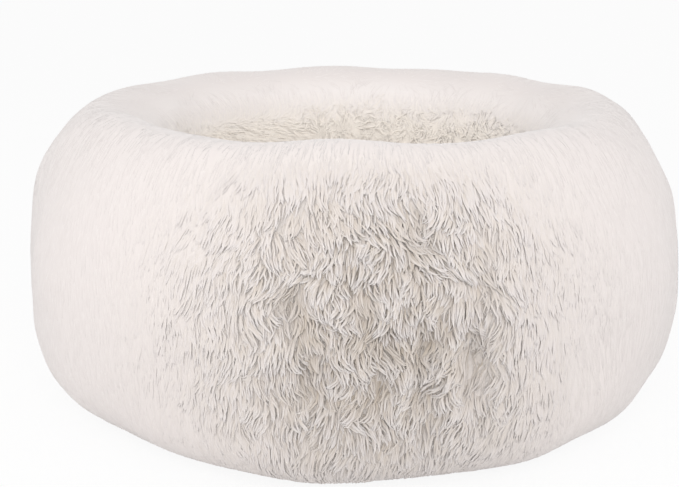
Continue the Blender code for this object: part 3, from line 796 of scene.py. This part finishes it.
# Dips are where the stuffed wall folds: azimuth from the front, height, half width,
# half height and depth. The first ten are on the front, the deepest at its right.
DIPS = (
    (-0.134, 0.127, 0.010, 0.018, 0.007),
    (-0.080, 0.086, 0.012, 0.020, 0.008),
    (0.080, 0.096, 0.010, 0.017, 0.007),
    (0.163, 0.166, 0.010, 0.014, 0.005),
    (0.179, 0.088, 0.009, 0.036, 0.009),
    (0.306, 0.094, 0.009, 0.036, 0.011),
    (0.495, 0.125, 0.016, 0.030, 0.004),
    (0.630, 0.078, 0.024, 0.046, 0.005),
    (-0.47, 0.060, 0.026, 0.035, 0.005),
    (-0.70, 0.018, 0.070, 0.028, 0.005),
    (-1.26, 0.115, 0.028, 0.045, 0.005),
    (-2.36, 0.085, 0.028, 0.045, 0.006),
    (2.20, 0.075, 0.026, 0.045, 0.008),
    (2.83, 0.075, 0.026, 0.045, 0.005),
)
# Tousled patches: azimuth, height, half width, half height and amount.
TOUSLED = (
    (0.06, 0.114, 0.47, 0.096, 0.98),
    (2.45, 0.112, 0.55, 0.092, 0.84),
    (-2.40, 0.118, 0.52, 0.092, 0.80),
)
UNDERFUR_SHEET = 0.0010
CALM_TOP_COAT = 0.0005
TOUSLED_TOP_COAT = 0.0043
INNER_TOP_COAT = 0.0017
SEAM_BLEND = 0.028
NEST_RADIUS = 0.172
HEM_BLEND = 0.012
CREST_BLEND = 0.02
BUNCH_SHARE = 0.45
DIP_OPENING = 100.0
PILE_MIDDLE = 0.45
ROOT_SHADE = 0.6
UNDERFUR_CREST_PAINTED_LIGHT = 0.5
MAP_EDGE = 0.01
MAP_SHIFT = 0.001
SHARE_MARKS = 321
POINTS_AT_ONCE = 20000
WAVE_COUNT = 8
WAVE_LENGTHS = (0.7, 1.5)
WAVE_HEIGHT = 3.0
# Swells of the stuffing and of the tousled pile: strength, length and seed.
WIDE_LUMPS = (0.0016, 0.11, 5)
SMALL_LUMPS = (0.0005, 0.045, 6)
SMALL_BUNCHES = (0.35, 0.018, 25)
WIDE_BUNCHES = (0.75, 0.040, 29)


class Strip:
    """A strip of plush turned round the bed, known by the face of its lying pile."""

    def __init__(self, face):
        self.face = face
        steps = np.linalg.norm(np.diff(face, axis=0), axis=1)
        self.run = np.concatenate([[0.0], np.cumsum(steps)])
        self.length = self.run[-1]
        slope = np.gradient(face, self.run, axis=0)
        self.slope = slope / np.linalg.norm(slope, axis=1, keepdims=True)

    def at(self, share, azimuth):
        """Points of the face, normals, the way up the strip and the way round it."""
        along = share * self.length
        radius = np.interp(along, self.run, self.face[:, 0])
        height = np.interp(along, self.run, self.face[:, 1])
        slope_r = np.interp(along, self.run, self.slope[:, 0])
        slope_z = np.interp(along, self.run, self.slope[:, 1])
        zero = np.zeros_like(azimuth)
        away = np.column_stack([np.sin(azimuth), -np.cos(azimuth), zero])
        round_way = np.column_stack([np.cos(azimuth), np.sin(azimuth), zero])
        up = np.array([0.0, 0.0, 1.0])
        point = away * radius[:, None] + up * height[:, None]
        way_up = away * slope_r[:, None] + up * slope_z[:, None]
        normal = away * slope_z[:, None] - up * slope_r[:, None]
        return point, normal, way_up, round_way

    def under(self, points):
        """Share and azimuth of the face's point that is nearest to each given point."""
        azimuth = azimuth_of(points)
        radius = np.hypot(points[:, 0], points[:, 1])
        marks = np.linspace(0.0, 1.0, SHARE_MARKS)
        mark_radius = np.interp(marks * self.length, self.run, self.face[:, 0])
        mark_height = np.interp(marks * self.length, self.run, self.face[:, 1])
        share = np.empty(len(points))
        for first in range(0, len(points), POINTS_AT_ONCE):
            part = slice(first, first + POINTS_AT_ONCE)
            apart = (radius[part, None] - mark_radius) ** 2 + (points[part, 2, None] - mark_height) ** 2
            share[part] = marks[np.argmin(apart, axis=1)]
        return share, azimuth


def azimuth_of(points):
    """Each point's turn round the bed, from the front."""
    return np.arctan2(points[:, 0], -points[:, 1])


def turned(azimuth, turn):
    """How far round the azimuths lie from a turn, by the shorter way."""
    return np.angle(np.exp(1j * (azimuth - turn)))


def waves(points, kind, share=1.0):
    """Smooth noise over points, of a kind with its strength, length and seed."""
    strength, length, seed = kind
    random = np.random.default_rng(seed)
    total = np.zeros(len(points))
    for _ in range(WAVE_COUNT):
        way = random.normal(size=3)
        way /= np.linalg.norm(way)
        rate = 2 * math.pi / (length * random.uniform(*WAVE_LENGTHS))
        total += np.sin(points @ way * rate + random.uniform(0, 2 * math.pi))
    return strength * share * (total / WAVE_HEIGHT)


def blend(distance, length):
    """0 before the distance begins, rising to 1 over the length."""
    return np.clip(distance / length, 0.0, 1.0)


def outside(points):
    """1 on the outer face of the wall, falling to 0 where it turns in over the crest."""
    return blend(np.hypot(points[:, 0], points[:, 1]) - CREST_RADIUS, CREST_BLEND)


def folded_in(points):
    """How deep the dips of the outer face lie at the points."""
    azimuth = azimuth_of(points)
    depth = np.zeros(len(points))
    for turn, level, half_width, half_height, fold in DIPS:
        across = turned(azimuth, turn) * OUTER_RADIUS / half_width
        upward = (points[:, 2] - level) / half_height
        depth += fold * np.exp(-across ** 2 - upward ** 2)
    return depth * outside(points)


def stuffing(points):
    """How far the stuffing pushes the cover out, or a dip lets it in."""
    push = waves(points, WIDE_LUMPS) + waves(points, SMALL_LUMPS)
    return (push - folded_in(points)) * blend(points[:, 2], HEM_BLEND)


def tousle(points):
    """How tousled the outer pile is: most at the middle of the front, some behind."""
    azimuth = azimuth_of(points)
    level = np.zeros(len(points))
    for turn, rise, width, tall, amount in TOUSLED:
        apart = np.abs(turned(azimuth, turn)) / width
        level += amount * np.exp(-apart ** 2.2 - ((points[:, 2] - rise) / tall) ** 4)
    return np.minimum(level, 1.0) * outside(points)


def clumps(points):
    """Where the tousled pile bunches up, above 0, or opens to its roots, below 0."""
    bunches = waves(points, SMALL_BUNCHES) + waves(points, WIDE_BUNCHES)
    return bunches - DIP_OPENING * folded_in(points)


def outer_sink(points):
    """Depth of the underfur below the face of the outer pile."""
    top_coat = TOUSLED_TOP_COAT * tousle(points) ** 2 * (1.0 - BUNCH_SHARE * clumps(points))
    return CALM_TOP_COAT + top_coat - stuffing(points)


def below_seam(points):
    """How far down the nest a point lies: 0 at the crest seam, 1 where it turns creamy."""
    return blend(outer_face[-1, 1] - points[:, 2], SEAM_BLEND)


def over_the_crest(points):
    """How far in over the crest a point lies: 0 on its top, 1 down the slope of the nest."""
    return blend(NEST_RADIUS - np.hypot(points[:, 0], points[:, 1]), CREST_BLEND)


def inner_sink(points):
    """Depth of the underfur below the face of the pile inside the nest."""
    return CALM_TOP_COAT + INNER_TOP_COAT * below_seam(points) - stuffing(points)


outer_face = outer_section(0.0, PILE_UNDERSIDE)
inner_face = inner_section(0.0, 0.0)
outer_strip = Strip(outer_face)
inner_strip = Strip(inner_face)
wall_strip = Strip(np.vstack([outer_face, inner_face[1:]]))
SEAM_SHARE = outer_strip.length / wall_strip.length


def two_tone(name, first, second):
    """Pile colour from root to tip up the map, from the first tone to the second across it; the ramps
    hold painted shade and painted light besides the pile's own colour.
    """
    material, tree, shader = new_material(name)
    chart = add_node(tree, "UVMap", {}, uv_map="OFBake")
    split = add_node(tree, "SeparateXYZ", {"Vector": chart.outputs["UV"]})
    tones_with_painted_light = []
    for root, middle, tip in (first, second):
        stops = ((0.0, root), (PILE_MIDDLE, middle), (1.0, tip))
        tones_with_painted_light.append(colour_ramp(tree, split.outputs["Y"], stops))
    mixed = add_node(tree, "Mix", {
        "A": tones_with_painted_light[0], "B": tones_with_painted_light[1], "Factor": split.outputs["X"]}, data_type="RGBA")
    tree.links.new(mixed.outputs["Result"], shader.inputs["Base Color"])
    shader.inputs["Roughness"].default_value = 0.7
    shader.inputs["Specular IOR Level"].default_value = 0.25
    shader.inputs["Sheen Weight"].default_value = 0.4
    shader.inputs["Sheen Roughness"].default_value = 0.5
    return material


# Smooth pile: painted light, the roots kept paler than the tips so that the shade between the locks and
# on the crest's inner slope comes out light.
SMOOTH_PILE_PAINTED_LIGHT = ((0.951, 0.904, 0.887), (0.868, 0.809, 0.790), (0.807, 0.748, 0.732))
# Tousled pile: the brown roots and middles are painted shade for the gaps between the tufts; the
# near-white tips are the pile's own colour.
TOUSLED_PILE_PAINTED_SHADE = ((0.580, 0.490, 0.395), (0.740, 0.668, 0.602), (0.918, 0.880, 0.875))
# Nest pile: its cream is the pile's own colour, but it is kept much paler than the outer pile as
# painted light against the shade in the hollow.
NEST_PILE_PAINTED_LIGHT = ((0.985, 0.925, 0.855), (0.980, 0.910, 0.830), (0.980, 0.915, 0.845))
outer_material = two_tone("outer_pile", TOUSLED_PILE_PAINTED_SHADE, SMOOTH_PILE_PAINTED_LIGHT)
inner_material = two_tone("inner_pile", NEST_PILE_PAINTED_LIGHT, SMOOTH_PILE_PAINTED_LIGHT)


def map_tones_with_painted_light(piece, tones_with_painted_light, levels_with_painted_light):
    """Give each point of an underfur its tone and its level on the colour map; both carry painted shade
    and painted light.
    """
    map_points(piece, np.column_stack([np.clip(tones_with_painted_light, MAP_EDGE, 1.0 - MAP_EDGE), levels_with_painted_light]))


def make_underfur(name, strip, rows, columns, sink, tone_with_painted_light_of, material, node):
    """A strip's underfur as one closed sheet, softly lumped and folded."""
    share, azimuth = np.meshgrid(
        np.linspace(0.0, 1.0, rows), np.arange(columns) * 2 * math.pi / columns, indexing="ij")
    point, normal, _, _ = strip.at(share.ravel(), azimuth.ravel())
    point = point - normal * sink(point)[:, None]
    faces = grid_faces(rows, columns, closed=True)
    underfur = new_piece(name, point, faces, material)
    shape_with(underfur, "SOLIDIFY", thickness=UNDERFUR_SHEET, offset=-1.0)
    bpy.ops.object.shade_smooth_by_angle(angle=math.radians(50))
    points = points_of(underfur)
    # Painted shade and painted light: in the tousled patches the underfur takes the darker tousled
    # ramp, and over the crest its level falls towards the paler roots of the smooth ramp.
    map_tones_with_painted_light(underfur, tone_with_painted_light_of(points), ROOT_SHADE - UNDERFUR_CREST_PAINTED_LIGHT * over_the_crest(points))
    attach(underfur, "bed")
    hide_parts(node)


make_underfur(
    "outer_wall_underfur", outer_strip, rows=90, columns=320, sink=outer_sink,
    tone_with_painted_light_of=lambda points: 1.0 - tousle(points),
    material=outer_material, node="outer_wall_fur")
make_underfur(
    "inner_wall_underfur", inner_strip, rows=50, columns=240, sink=inner_sink,
    tone_with_painted_light_of=lambda points: 1.0 - below_seam(points),
    material=inner_material, node="inner_wall_fur")

# Long outer pile.
# Polyester locks set close in the plush and brushed down, half sunk in the underfur;
# they stand free and gather into pointed tufts where they are tousled.
RING_SHARES = np.array([0.0, 0.27, 0.54, 0.80, 1.0])
GIRTH_SHARES = np.array([0.62, 1.0, 0.94, 0.66])
STANDING_SHARES = np.array([-0.1, 0.45, 0.80, 1.0, 0.95])
SUNK_HEIGHTS = np.array([-0.0006, -0.0001, -0.0001, -0.0001, 0.0001])
PATH_STEPS = 12
OUTER_PITCH = 0.0019
CALM_DENSITY = 0.20
LOCK_REACH = 0.020
TOUSLED_REACH = 0.013
LOCK_GIRTH = 0.00110
CREST_PARTING = 0.94
PARTING_BLEND = 0.035
HEM_OVERHANG = 0.003
LOWEST_POINT = 0.0006
REACH_RANGE = (0.75, 1.15)
GIRTH_RANGE = (0.65, 1.2)
GATHER_POWER = 1.5
SWAY_TURNS = (0.6, 1.4)
TUFT_SPREAD = 0.22
TUFT_SIZE = 7
TUFT_HOLD = 0.70
SMALL_TUFT_SIZE = 3
SMALL_TUFT_HOLD = 0.45
STANDING_MIDDLE = 0.85
BUNCH_LIFT = 0.20
TUFT_LIFT = 0.35
STRAY_HEIGHT = 0.0008
FALL_STRAY = 0.05
SWAY_STRAY = 0.07
HOOK_STRAY = 0.6
CALM_CURL = 0.04
TOUSLED_CURL = 0.50
CALM_LIGHT = 0.95
BUNCH_PAINTED_SHADE = 0.50
TUFT_LIGHT = 0.15
LEAST_LIGHT = 0.30
TOUSLED_THINNING = 0.22
CALM_FLATNESS = 0.30
TOUSLED_FLATNESS = 0.15
TOUSLED_PAINTED_SHADE = 0.85
TONE_STRAY = 0.15
CALM_ROLL = 0.05
TOUSLED_ROLL = 0.5
CALM_SHADING = 0.95
TOUSLED_SHADING = 0.14
CREST_PAINTED_LIGHT = 0.7
OUTER_SECTORS = 12
# Swells of the pile's lie: strength, length and seed.
PARTING_SWELL = (0.02, 0.07, 27)
FALL_SWELL = (0.35, 0.030, 24)
LOCK_SWAY = (0.45, 0.035, 21)
FINE_SWAY = (0.40, 0.014, 22)
WIDE_SWAY = (0.14, 0.12, 23)
PARTING_SWAY = (0.6, 0.05, 28)
HOOK_SWELL = (1.2, 0.02, 26)


def unit(rows):
    """The rows as directions of length 1."""
    return rows / np.maximum(np.linalg.norm(rows, axis=-1, keepdims=True), 1e-9)


def scatter(strip, pitch, random):
    """Roots spread evenly over a strip, jittered, as shares of its run and azimuths."""
    shares, turns = [], []
    rows = max(int(strip.length / pitch), 1)
    for row in range(rows):
        share = (row + 0.5) / rows
        radius = np.interp(share * strip.length, strip.run, strip.face[:, 0])
        count = int(2 * math.pi * radius / pitch)
        jitter = random.uniform(-0.5, 0.5, (2, count))
        shares.append(np.clip(share + jitter[0] / rows, 0.0, 1.0))
        turns.append((np.arange(count) + jitter[1] + random.uniform()) * 2 * math.pi / count)
    return np.concatenate(shares), np.concatenate(turns)


def lock_paths(root, start, normal, reach, curl, hook, random):
    """Centre lines of the locks along the pile: each sets out along start, sways and hooks."""
    count = len(root)
    steps = (np.arange(PATH_STEPS) + 0.5) / PATH_STEPS
    phase = random.uniform(0, 2 * math.pi, count)[:, None]
    turns = random.uniform(*SWAY_TURNS, count)[:, None]
    across = np.cross(normal, start)
    sway = curl[:, None] * np.sin(2 * math.pi * turns * steps[None, :] + phase)
    sway += hook[:, None] * steps[None, :] ** 3
    way = unit(start[:, None, :] + across[:, None, :] * sway[:, :, None])
    travel = np.concatenate([np.zeros((count, 1, 3)), np.cumsum(way, axis=1)], axis=1)
    travel *= (reach / PATH_STEPS)[:, None, None]
    at = RING_SHARES * PATH_STEPS
    low = np.minimum(at.astype(int), PATH_STEPS - 1)
    part = (at - low)[None, :, None]
    return root[:, None, :] + travel[:, low] * (1 - part) + travel[:, low + 1] * part


def tufts(root, tuft_size, random):
    """For each lock the one that heads its tuft: the nearest of some picked at random."""
    count = len(root)
    heads = random.choice(count, max(count // tuft_size, 1), replace=False)
    tree = kdtree.KDTree(len(heads))
    for number, head in enumerate(heads):
        tree.insert(root[head], number)
    tree.balance()
    return heads[np.array([tree.find(point)[1] for point in root])]


def gather(root, path, head, hold):
    """Pull the ends of the locks together towards the end of their tuft's head."""
    target = path[head] + TUFT_SPREAD * (root - root[head])[:, None, :]
    pull = hold[head][:, None, None] * (RING_SHARES ** GATHER_POWER)[None, :, None]
    return path + (target - path) * pull


def lay(path, heights):
    """Lift or lower each ring of the locks to its height over the wall's underfur."""
    flat = path.reshape(-1, 3)
    share, azimuth = wall_strip.under(flat)
    point, normal, _, _ = wall_strip.at(share, azimuth)
    sink = np.where(share > SEAM_SHARE, inner_sink(point), outer_sink(point))
    wanted = heights.ravel() - sink
    present = np.sum((flat - point) * normal, axis=1)
    return (flat + normal * (wanted - present)[:, None]).reshape(path.shape)


def build_locks(name, path, outward, girth, flatness, roll, tone_with_painted_light, map_level_with_painted_light, calm, material, slot, node):
    """Closed three-sided tapering locks along the paths, laid with a flat side outwards."""
    count = len(path)
    rings = len(GIRTH_SHARES)
    tangent = unit(np.gradient(path, axis=1))
    flat_way = unit(np.cross(outward[:, None, :], tangent) + 1e-6)
    lift = np.cross(tangent, flat_way)
    turn_cos, turn_sin = np.cos(roll)[:, None, None], np.sin(roll)[:, None, None]
    flat = flatness[:, None, None]
    side = flat_way * turn_cos + lift * turn_sin
    other = lift * turn_cos - flat_way * turn_sin
    points = np.empty((count, rings * 3 + 1, 3))
    normals = np.empty((count, rings * 3 + 1, 3))
    for corner in range(3):
        angle = math.pi / 2 + 2 * math.pi * corner / 3
        width = girth[:, None, None] * GIRTH_SHARES[None, :, None]
        offset = side * math.cos(angle) + other * math.sin(angle) * flat
        points[:, corner:rings * 3:3] = path[:, :rings] + offset[:, :rings] * width
        normals[:, corner:rings * 3:3] = (
            side * math.cos(angle) * flat + other * math.sin(angle))[:, :rings]
    points[:, -1] = path[:, -1]
    normals[:, -1] = lift[:, -1]
    points[:, :, 2] = np.maximum(points[:, :, 2], LOWEST_POINT)
    soft = calm[:, None, None]
    normals = unit(unit(normals) * (1.0 - soft) + outward[:, None, :] * soft)

    quads = grid_faces(rings, 3, closed=True)
    last = (rings - 1) * 3
    tris = [(last + corner, last + (corner + 1) % 3, rings * 3) for corner in range(3)]
    tris.append((2, 1, 0))
    one = np.array([v for quad in quads for v in quad] + [v for tri in tris for v in tri])
    sizes = np.array([4] * len(quads) + [3] * len(tris))
    per_lock = rings * 3 + 1
    loops = (one[None, :] + np.arange(count)[:, None] * per_lock).ravel()
    totals = np.tile(sizes, count)
    starts = np.concatenate([[0], np.cumsum(totals)[:-1]])
    mesh = bpy.data.meshes.new(name)
    mesh.vertices.add(count * per_lock)
    mesh.vertices.foreach_set("co", points.astype(np.float32).ravel())
    mesh.loops.add(len(loops))
    mesh.loops.foreach_set("vertex_index", loops.astype(np.int32))
    mesh.polygons.add(len(totals))
    mesh.polygons.foreach_set("loop_start", starts.astype(np.int32))
    mesh.polygons.foreach_set("use_smooth", np.ones(len(totals), dtype=bool))
    mesh.update(calc_edges=True)
    mesh.normals_split_custom_set_from_vertices(normals.reshape(-1, 3).tolist())

    # Each lock's own narrow strip of the map: tone across, root to tip upwards, only as far up as its
    # level, which carries painted shade and painted light
    span = 1.0 - 2 * MAP_EDGE
    level = np.append(np.repeat(RING_SHARES[:rings], 3), 1.0) * span + MAP_EDGE
    shift = np.append(np.tile([-MAP_SHIFT, 0.0, MAP_SHIFT], rings), 0.0)
    u = (tone_with_painted_light * span + MAP_EDGE)[:, None] + shift[None, :]
    v = level[None, :] * map_level_with_painted_light[:, None]
    mesh.materials.append(material)
    locks = bpy.data.objects.new(name, mesh)
    bpy.context.collection.objects.link(locks)
    map_points(locks, np.stack([u, v], axis=-1).reshape(-1, 2))
    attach(locks, "bed")
    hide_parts(node)


def standing_lay(path, standing):
    """Lay the locks over the wall, their middles and ends raised by the standing."""
    heights = np.maximum(standing, 0.0)[:, None] * STANDING_SHARES[None, :] + SUNK_HEIGHTS[None, :]
    return lay(path, heights)


def build_sectors(name, sectors, azimuth, looks, material, slot, node):
    """Build the locks as pieces that each take up one sector of the ring."""
    sector = (np.mod(azimuth, 2 * math.pi) / (2 * math.pi) * sectors).astype(int) % sectors
    for number in range(sectors):
        chosen = sector == number
        build_locks(
            name + str(number + 1), *(look[chosen] for look in looks), material, slot, node)


random = np.random.default_rng(11)
share, azimuth = scatter(outer_strip, OUTER_PITCH, random)
root, normal, way_up, round_way = outer_strip.at(share, azimuth)
kept = random.uniform(0, 1, len(root)) < CALM_DENSITY + (1.0 - CALM_DENSITY) * tousle(root)
share, root, normal = share[kept], root[kept], normal[kept]
azimuth, way_up, round_way = azimuth[kept], way_up[kept], round_way[kept]
count = len(root)
mess = tousle(root)
reach = (LOCK_REACH + (TOUSLED_REACH - LOCK_REACH) * mess) * random.uniform(*REACH_RANGE, count)
reach = np.minimum(reach, share * outer_strip.length + HEM_OVERHANG)
fall = np.tanh((CREST_PARTING + waves(root, PARTING_SWELL) - share) / PARTING_BLEND)
level_way = 1.0 - np.abs(fall)
fall = fall + waves(root, FALL_SWELL, mess) + random.normal(0, FALL_STRAY, count) * (1 + 2 * mess)
sway = waves(root, LOCK_SWAY, mess) + waves(root, FINE_SWAY, mess)
sway += waves(root, WIDE_SWAY) + random.normal(0, SWAY_STRAY, count) * (1 + 3 * mess)
sway += waves(root, PARTING_SWAY, level_way)
start = unit(round_way * sway[:, None] - way_up * fall[:, None])
curl = CALM_CURL + TOUSLED_CURL * mess * random.uniform(0, 1, count)
hook = mess * (waves(root, HOOK_SWELL) + random.normal(0, HOOK_STRAY, count))
path = lock_paths(root, start, normal, reach, curl, hook, random)
tuft = tufts(root, TUFT_SIZE, random)
path = gather(root, path, tuft, TUFT_HOLD * mess)
path = gather(root, path, tufts(root, SMALL_TUFT_SIZE, random), SMALL_TUFT_HOLD * mess)
lift = BUNCH_LIFT * clumps(root) + TUFT_LIFT * random.normal(0, 1, count)[tuft]
standing = mess ** 2 * (
    TOUSLED_TOP_COAT * (STANDING_MIDDLE + lift) + random.normal(0, 1, count) * STRAY_HEIGHT)
# Painted shade: tousled locks in low bunches and in the dips take less of their ramp, so they come out
# darker and browner; each tuft's level also differs at random. Painted light: over the crest the level
# falls towards the paler roots of the smooth ramp.
map_level_with_painted_light = BUNCH_PAINTED_SHADE * clumps(root) + TUFT_LIGHT * random.normal(0, 1, count)[tuft]
map_level_with_painted_light = np.clip(CALM_LIGHT + mess * map_level_with_painted_light, LEAST_LIGHT, 1.0) * (1.0 - CREST_PAINTED_LIGHT * over_the_crest(root))
path = standing_lay(path, standing)
girth = LOCK_GIRTH * random.uniform(*GIRTH_RANGE, count) * (1.0 - TOUSLED_THINNING * mess)
flatness = CALM_FLATNESS + TOUSLED_FLATNESS * mess
# Painted shade: the more tousled a lock, the more it takes the darker tousled ramp; the stray is random
# tone.
tone_with_painted_light = 1.0 - TOUSLED_PAINTED_SHADE * mess + TONE_STRAY * mess * random.normal(0, 1, count)
tone_with_painted_light = np.clip(tone_with_painted_light, 0.0, 1.0)
roll = random.normal(0, 1, count) * (CALM_ROLL + TOUSLED_ROLL * mess)
calm = CALM_SHADING - TOUSLED_SHADING * mess
build_sectors(
    "outer_pile_", OUTER_SECTORS, azimuth, (path, normal, girth, flatness, roll, tone_with_painted_light, map_level_with_painted_light, calm),
    outer_material, "outer_fur", "outer_wall_fur")

# Inner wall pile.
# The shorter, curlier pile that lines the nest, near-white at the seam and creamy
# below; it is combed sideways on the far left.
INNER_PITCH = 0.0026
INNER_REACH = 0.012
INNER_GIRTH = 0.00097
COMBED_AZIMUTH = math.pi + 0.75
COMBED_WIDTH = 0.55
COMBED_SWAY = 1.4
COMBED_STRAIGHTNESS = 0.8
COMBED_FLATNESS = 0.5
SEAM_CURLINESS = 0.3
NEST_CURLINESS = 0.7
LEAST_CURL = 0.1
CURLY_CURL = 0.5
CURLY_STRAY = 0.3
CURLY_HOOK = 0.8
CURLY_TUFT_SIZE = 5
CURLY_HOLD = 0.5
NEST_FALL = 1.2
NEST_TONE_STRAY = 0.08
NEST_STANDING = 0.7
NEST_STANDING_STRAY = 0.3
NEST_ROLL = 0.3
NEST_SHADING = 0.22
INNER_FLATNESS = 0.35
INNER_SECTORS = 3
INNER_SWAY = (0.9, 0.020, 31)
INNER_FALL = (0.8, 0.020, 32)

random = np.random.default_rng(12)
share, azimuth = scatter(inner_strip, INNER_PITCH, random)
root, normal, way_up, round_way = inner_strip.at(share, azimuth)
count = len(root)
deep = below_seam(root)
combed = np.exp(-(turned(azimuth, COMBED_AZIMUTH) / COMBED_WIDTH) ** 4)
curly = (1.0 - COMBED_STRAIGHTNESS * combed) * (SEAM_CURLINESS + NEST_CURLINESS * deep)
sway = curly * (waves(root, INNER_SWAY) + random.normal(0, CURLY_STRAY, count))
sway = sway + COMBED_SWAY * combed * deep
fall = curly * (waves(root, INNER_FALL) + random.normal(0, CURLY_STRAY, count))
fall = (1.0 - NEST_FALL * deep) + fall
start = unit(way_up * fall[:, None] + round_way * sway[:, None])
reach = INNER_REACH * random.uniform(*REACH_RANGE, count)
reach = np.minimum(reach, (1.0 - share) * inner_strip.length + HEM_OVERHANG)
hook = curly * random.normal(0, CURLY_HOOK, count)
path = lock_paths(root, start, normal, reach, LEAST_CURL + CURLY_CURL * curly, hook, random)
path = gather(root, path, tufts(root, CURLY_TUFT_SIZE, random), CURLY_HOLD * curly)
standing = INNER_TOP_COAT * deep * (1.0 - COMBED_FLATNESS * combed) * (
    NEST_STANDING + NEST_STANDING_STRAY * random.normal(0, 1, count))
path = standing_lay(path, standing)
girth = INNER_GIRTH * random.uniform(*GIRTH_RANGE, count)
flatness = np.full(count, INNER_FLATNESS)
# Deeper in the nest the locks take the nest ramp: their own cream, kept pale as painted light.
tone_with_painted_light = np.clip(1.0 - deep + random.normal(0, NEST_TONE_STRAY, count), 0.0, 1.0)
roll = random.normal(0, NEST_ROLL, count) * deep
calm = CALM_SHADING - NEST_SHADING * deep
# Painted light: over the crest and down the nest the locks keep to the paler root end of their ramp.
map_level_with_painted_light = 1.0 - CREST_PAINTED_LIGHT * over_the_crest(root)
build_sectors(
    "inner_pile_", INNER_SECTORS, azimuth, (path, normal, girth, flatness, roll, tone_with_painted_light, map_level_with_painted_light, calm),
    inner_material, "inner_fur", "inner_wall_fur")

# Floor pile.
# A round of the same short pile, sewn by its edge under the wall's foot and lying
# on the floor pad; it is curly and a little trodden.
FLOOR_FUR_RADIUS = 0.1485
FLOOR_BACKING_HEIGHT = 0.0357
FLOOR_CROWN = 0.0055
FLOOR_PILE = 0.011
FLOOR_UNDERFUR = 0.0080
FLOOR_REACH = 0.012
FLOOR_PITCH = 0.0031
FLOOR_EDGE = 0.010
FLOOR_SIDES = 96
FLOOR_CUTS = 8
FLOOR_MARGIN = 0.001
FLOOR_LIMIT = 0.1500
FLOOR_TUFT_HOLD = 0.45
FLOOR_CALM = 0.85
FLOOR_STRAY = 0.35
FLOOR_CURL = (0.2, 0.6)
FLOOR_RAISED = 0.6
FLOOR_RAISED_STRAY = 0.3
FLOOR_LIGHT = (0.75, 1.0)
FLOOR_UNDERFUR_SHADE = 0.5
FLOOR_LUMPS = (0.0006, 0.05, 41)
FLOOR_SWIRL = (math.pi, 0.06, 42)


def floor_ground(radius):
    """Height of the floor's backing: crowned by the pad below it."""
    return FLOOR_BACKING_HEIGHT + FLOOR_CROWN * (1.0 - (radius / FLOOR_FUR_RADIUS) ** 2)


bpy.ops.object.select_all(action="DESELECT")
bpy.ops.mesh.primitive_circle_add(
    vertices=FLOOR_SIDES, radius=FLOOR_FUR_RADIUS, fill_type="TRIFAN", location=(0.0, 0.0, 0.0))
floor_underfur = bpy.context.object
floor_underfur.name = "floor_underfur"
bpy.ops.object.mode_set(mode="EDIT")
bpy.ops.mesh.select_all(action="SELECT")
bpy.ops.mesh.subdivide(number_cuts=FLOOR_CUTS)
bpy.ops.object.mode_set(mode="OBJECT")
rows = points_of(floor_underfur)
rows[:, 2] = floor_ground(np.hypot(rows[:, 0], rows[:, 1])) + waves(rows, FLOOR_LUMPS)
place_points(floor_underfur, rows)
shape_with(floor_underfur, "SOLIDIFY", thickness=FLOOR_UNDERFUR, offset=1.0)
bpy.ops.object.shade_smooth()
while floor_underfur.data.uv_layers:
    floor_underfur.data.uv_layers.remove(floor_underfur.data.uv_layers[0])
count = len(floor_underfur.data.vertices)
map_tones_with_painted_light(floor_underfur, np.zeros(count), np.full(count, FLOOR_UNDERFUR_SHADE))
floor_underfur.data.materials.append(inner_material)
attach(floor_underfur, "bed")
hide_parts("floor_fur")

random = np.random.default_rng(13)
side_count = int(2 * FLOOR_FUR_RADIUS / FLOOR_PITCH)
grid = (np.arange(side_count) + 0.5) / side_count * 2 - 1
grid_x, grid_y = np.meshgrid(grid, grid)
spots = np.column_stack([grid_x.ravel(), grid_y.ravel()]) * FLOOR_FUR_RADIUS
spots += random.uniform(-0.5, 0.5, spots.shape) * FLOOR_PITCH
spots = spots[np.hypot(spots[:, 0], spots[:, 1]) < FLOOR_FUR_RADIUS - FLOOR_MARGIN]
count = len(spots)
root = np.column_stack([spots, floor_ground(np.hypot(spots[:, 0], spots[:, 1])) + FLOOR_UNDERFUR])
normal = np.tile([0.0, 0.0, 1.0], (count, 1))
swirl = waves(root, FLOOR_SWIRL) + random.normal(0, FLOOR_STRAY, count)
lie = np.column_stack([np.cos(swirl), np.sin(swirl), np.zeros(count)])
reach = FLOOR_REACH * random.uniform(*REACH_RANGE, count)
curl = random.uniform(*FLOOR_CURL, count)
hook = random.normal(0, HOOK_STRAY, count)
path = lock_paths(root, lie, normal, reach, curl, hook, random)
path = gather(root, path, tufts(root, CURLY_TUFT_SIZE, random), np.full(count, FLOOR_TUFT_HOLD))
radius = np.hypot(path[:, :, 0], path[:, :, 1])
path[:, :, :2] *= np.minimum(1.0, FLOOR_LIMIT / np.maximum(radius, 1e-6))[:, :, None]
by_the_edge = np.hypot(spots[:, 0], spots[:, 1]) > FLOOR_FUR_RADIUS - FLOOR_EDGE
trodden = np.clip(random.normal(FLOOR_RAISED, FLOOR_RAISED_STRAY, count), 0.0, 1.0)
raised = np.where(by_the_edge, 1.0, trodden)
standing = (FLOOR_PILE - FLOOR_UNDERFUR) * raised
top = floor_ground(np.minimum(radius, FLOOR_FUR_RADIUS)) + FLOOR_UNDERFUR
path[:, :, 2] = top + standing[:, None] * STANDING_SHARES[None, :] + SUNK_HEIGHTS[None, :]
girth = INNER_GIRTH * random.uniform(*GIRTH_RANGE, count)
tone_with_painted_light = np.clip(NEST_TONE_STRAY * random.normal(0, 1, count), 0.0, 1.0)
build_locks(
    "floor_pile", path, normal, girth, np.full(count, INNER_FLATNESS),
    random.normal(0, NEST_ROLL, count), tone_with_painted_light, random.uniform(*FLOOR_LIGHT, count),
    np.full(count, FLOOR_CALM), inner_material, "floor_fur", "floor_fur")
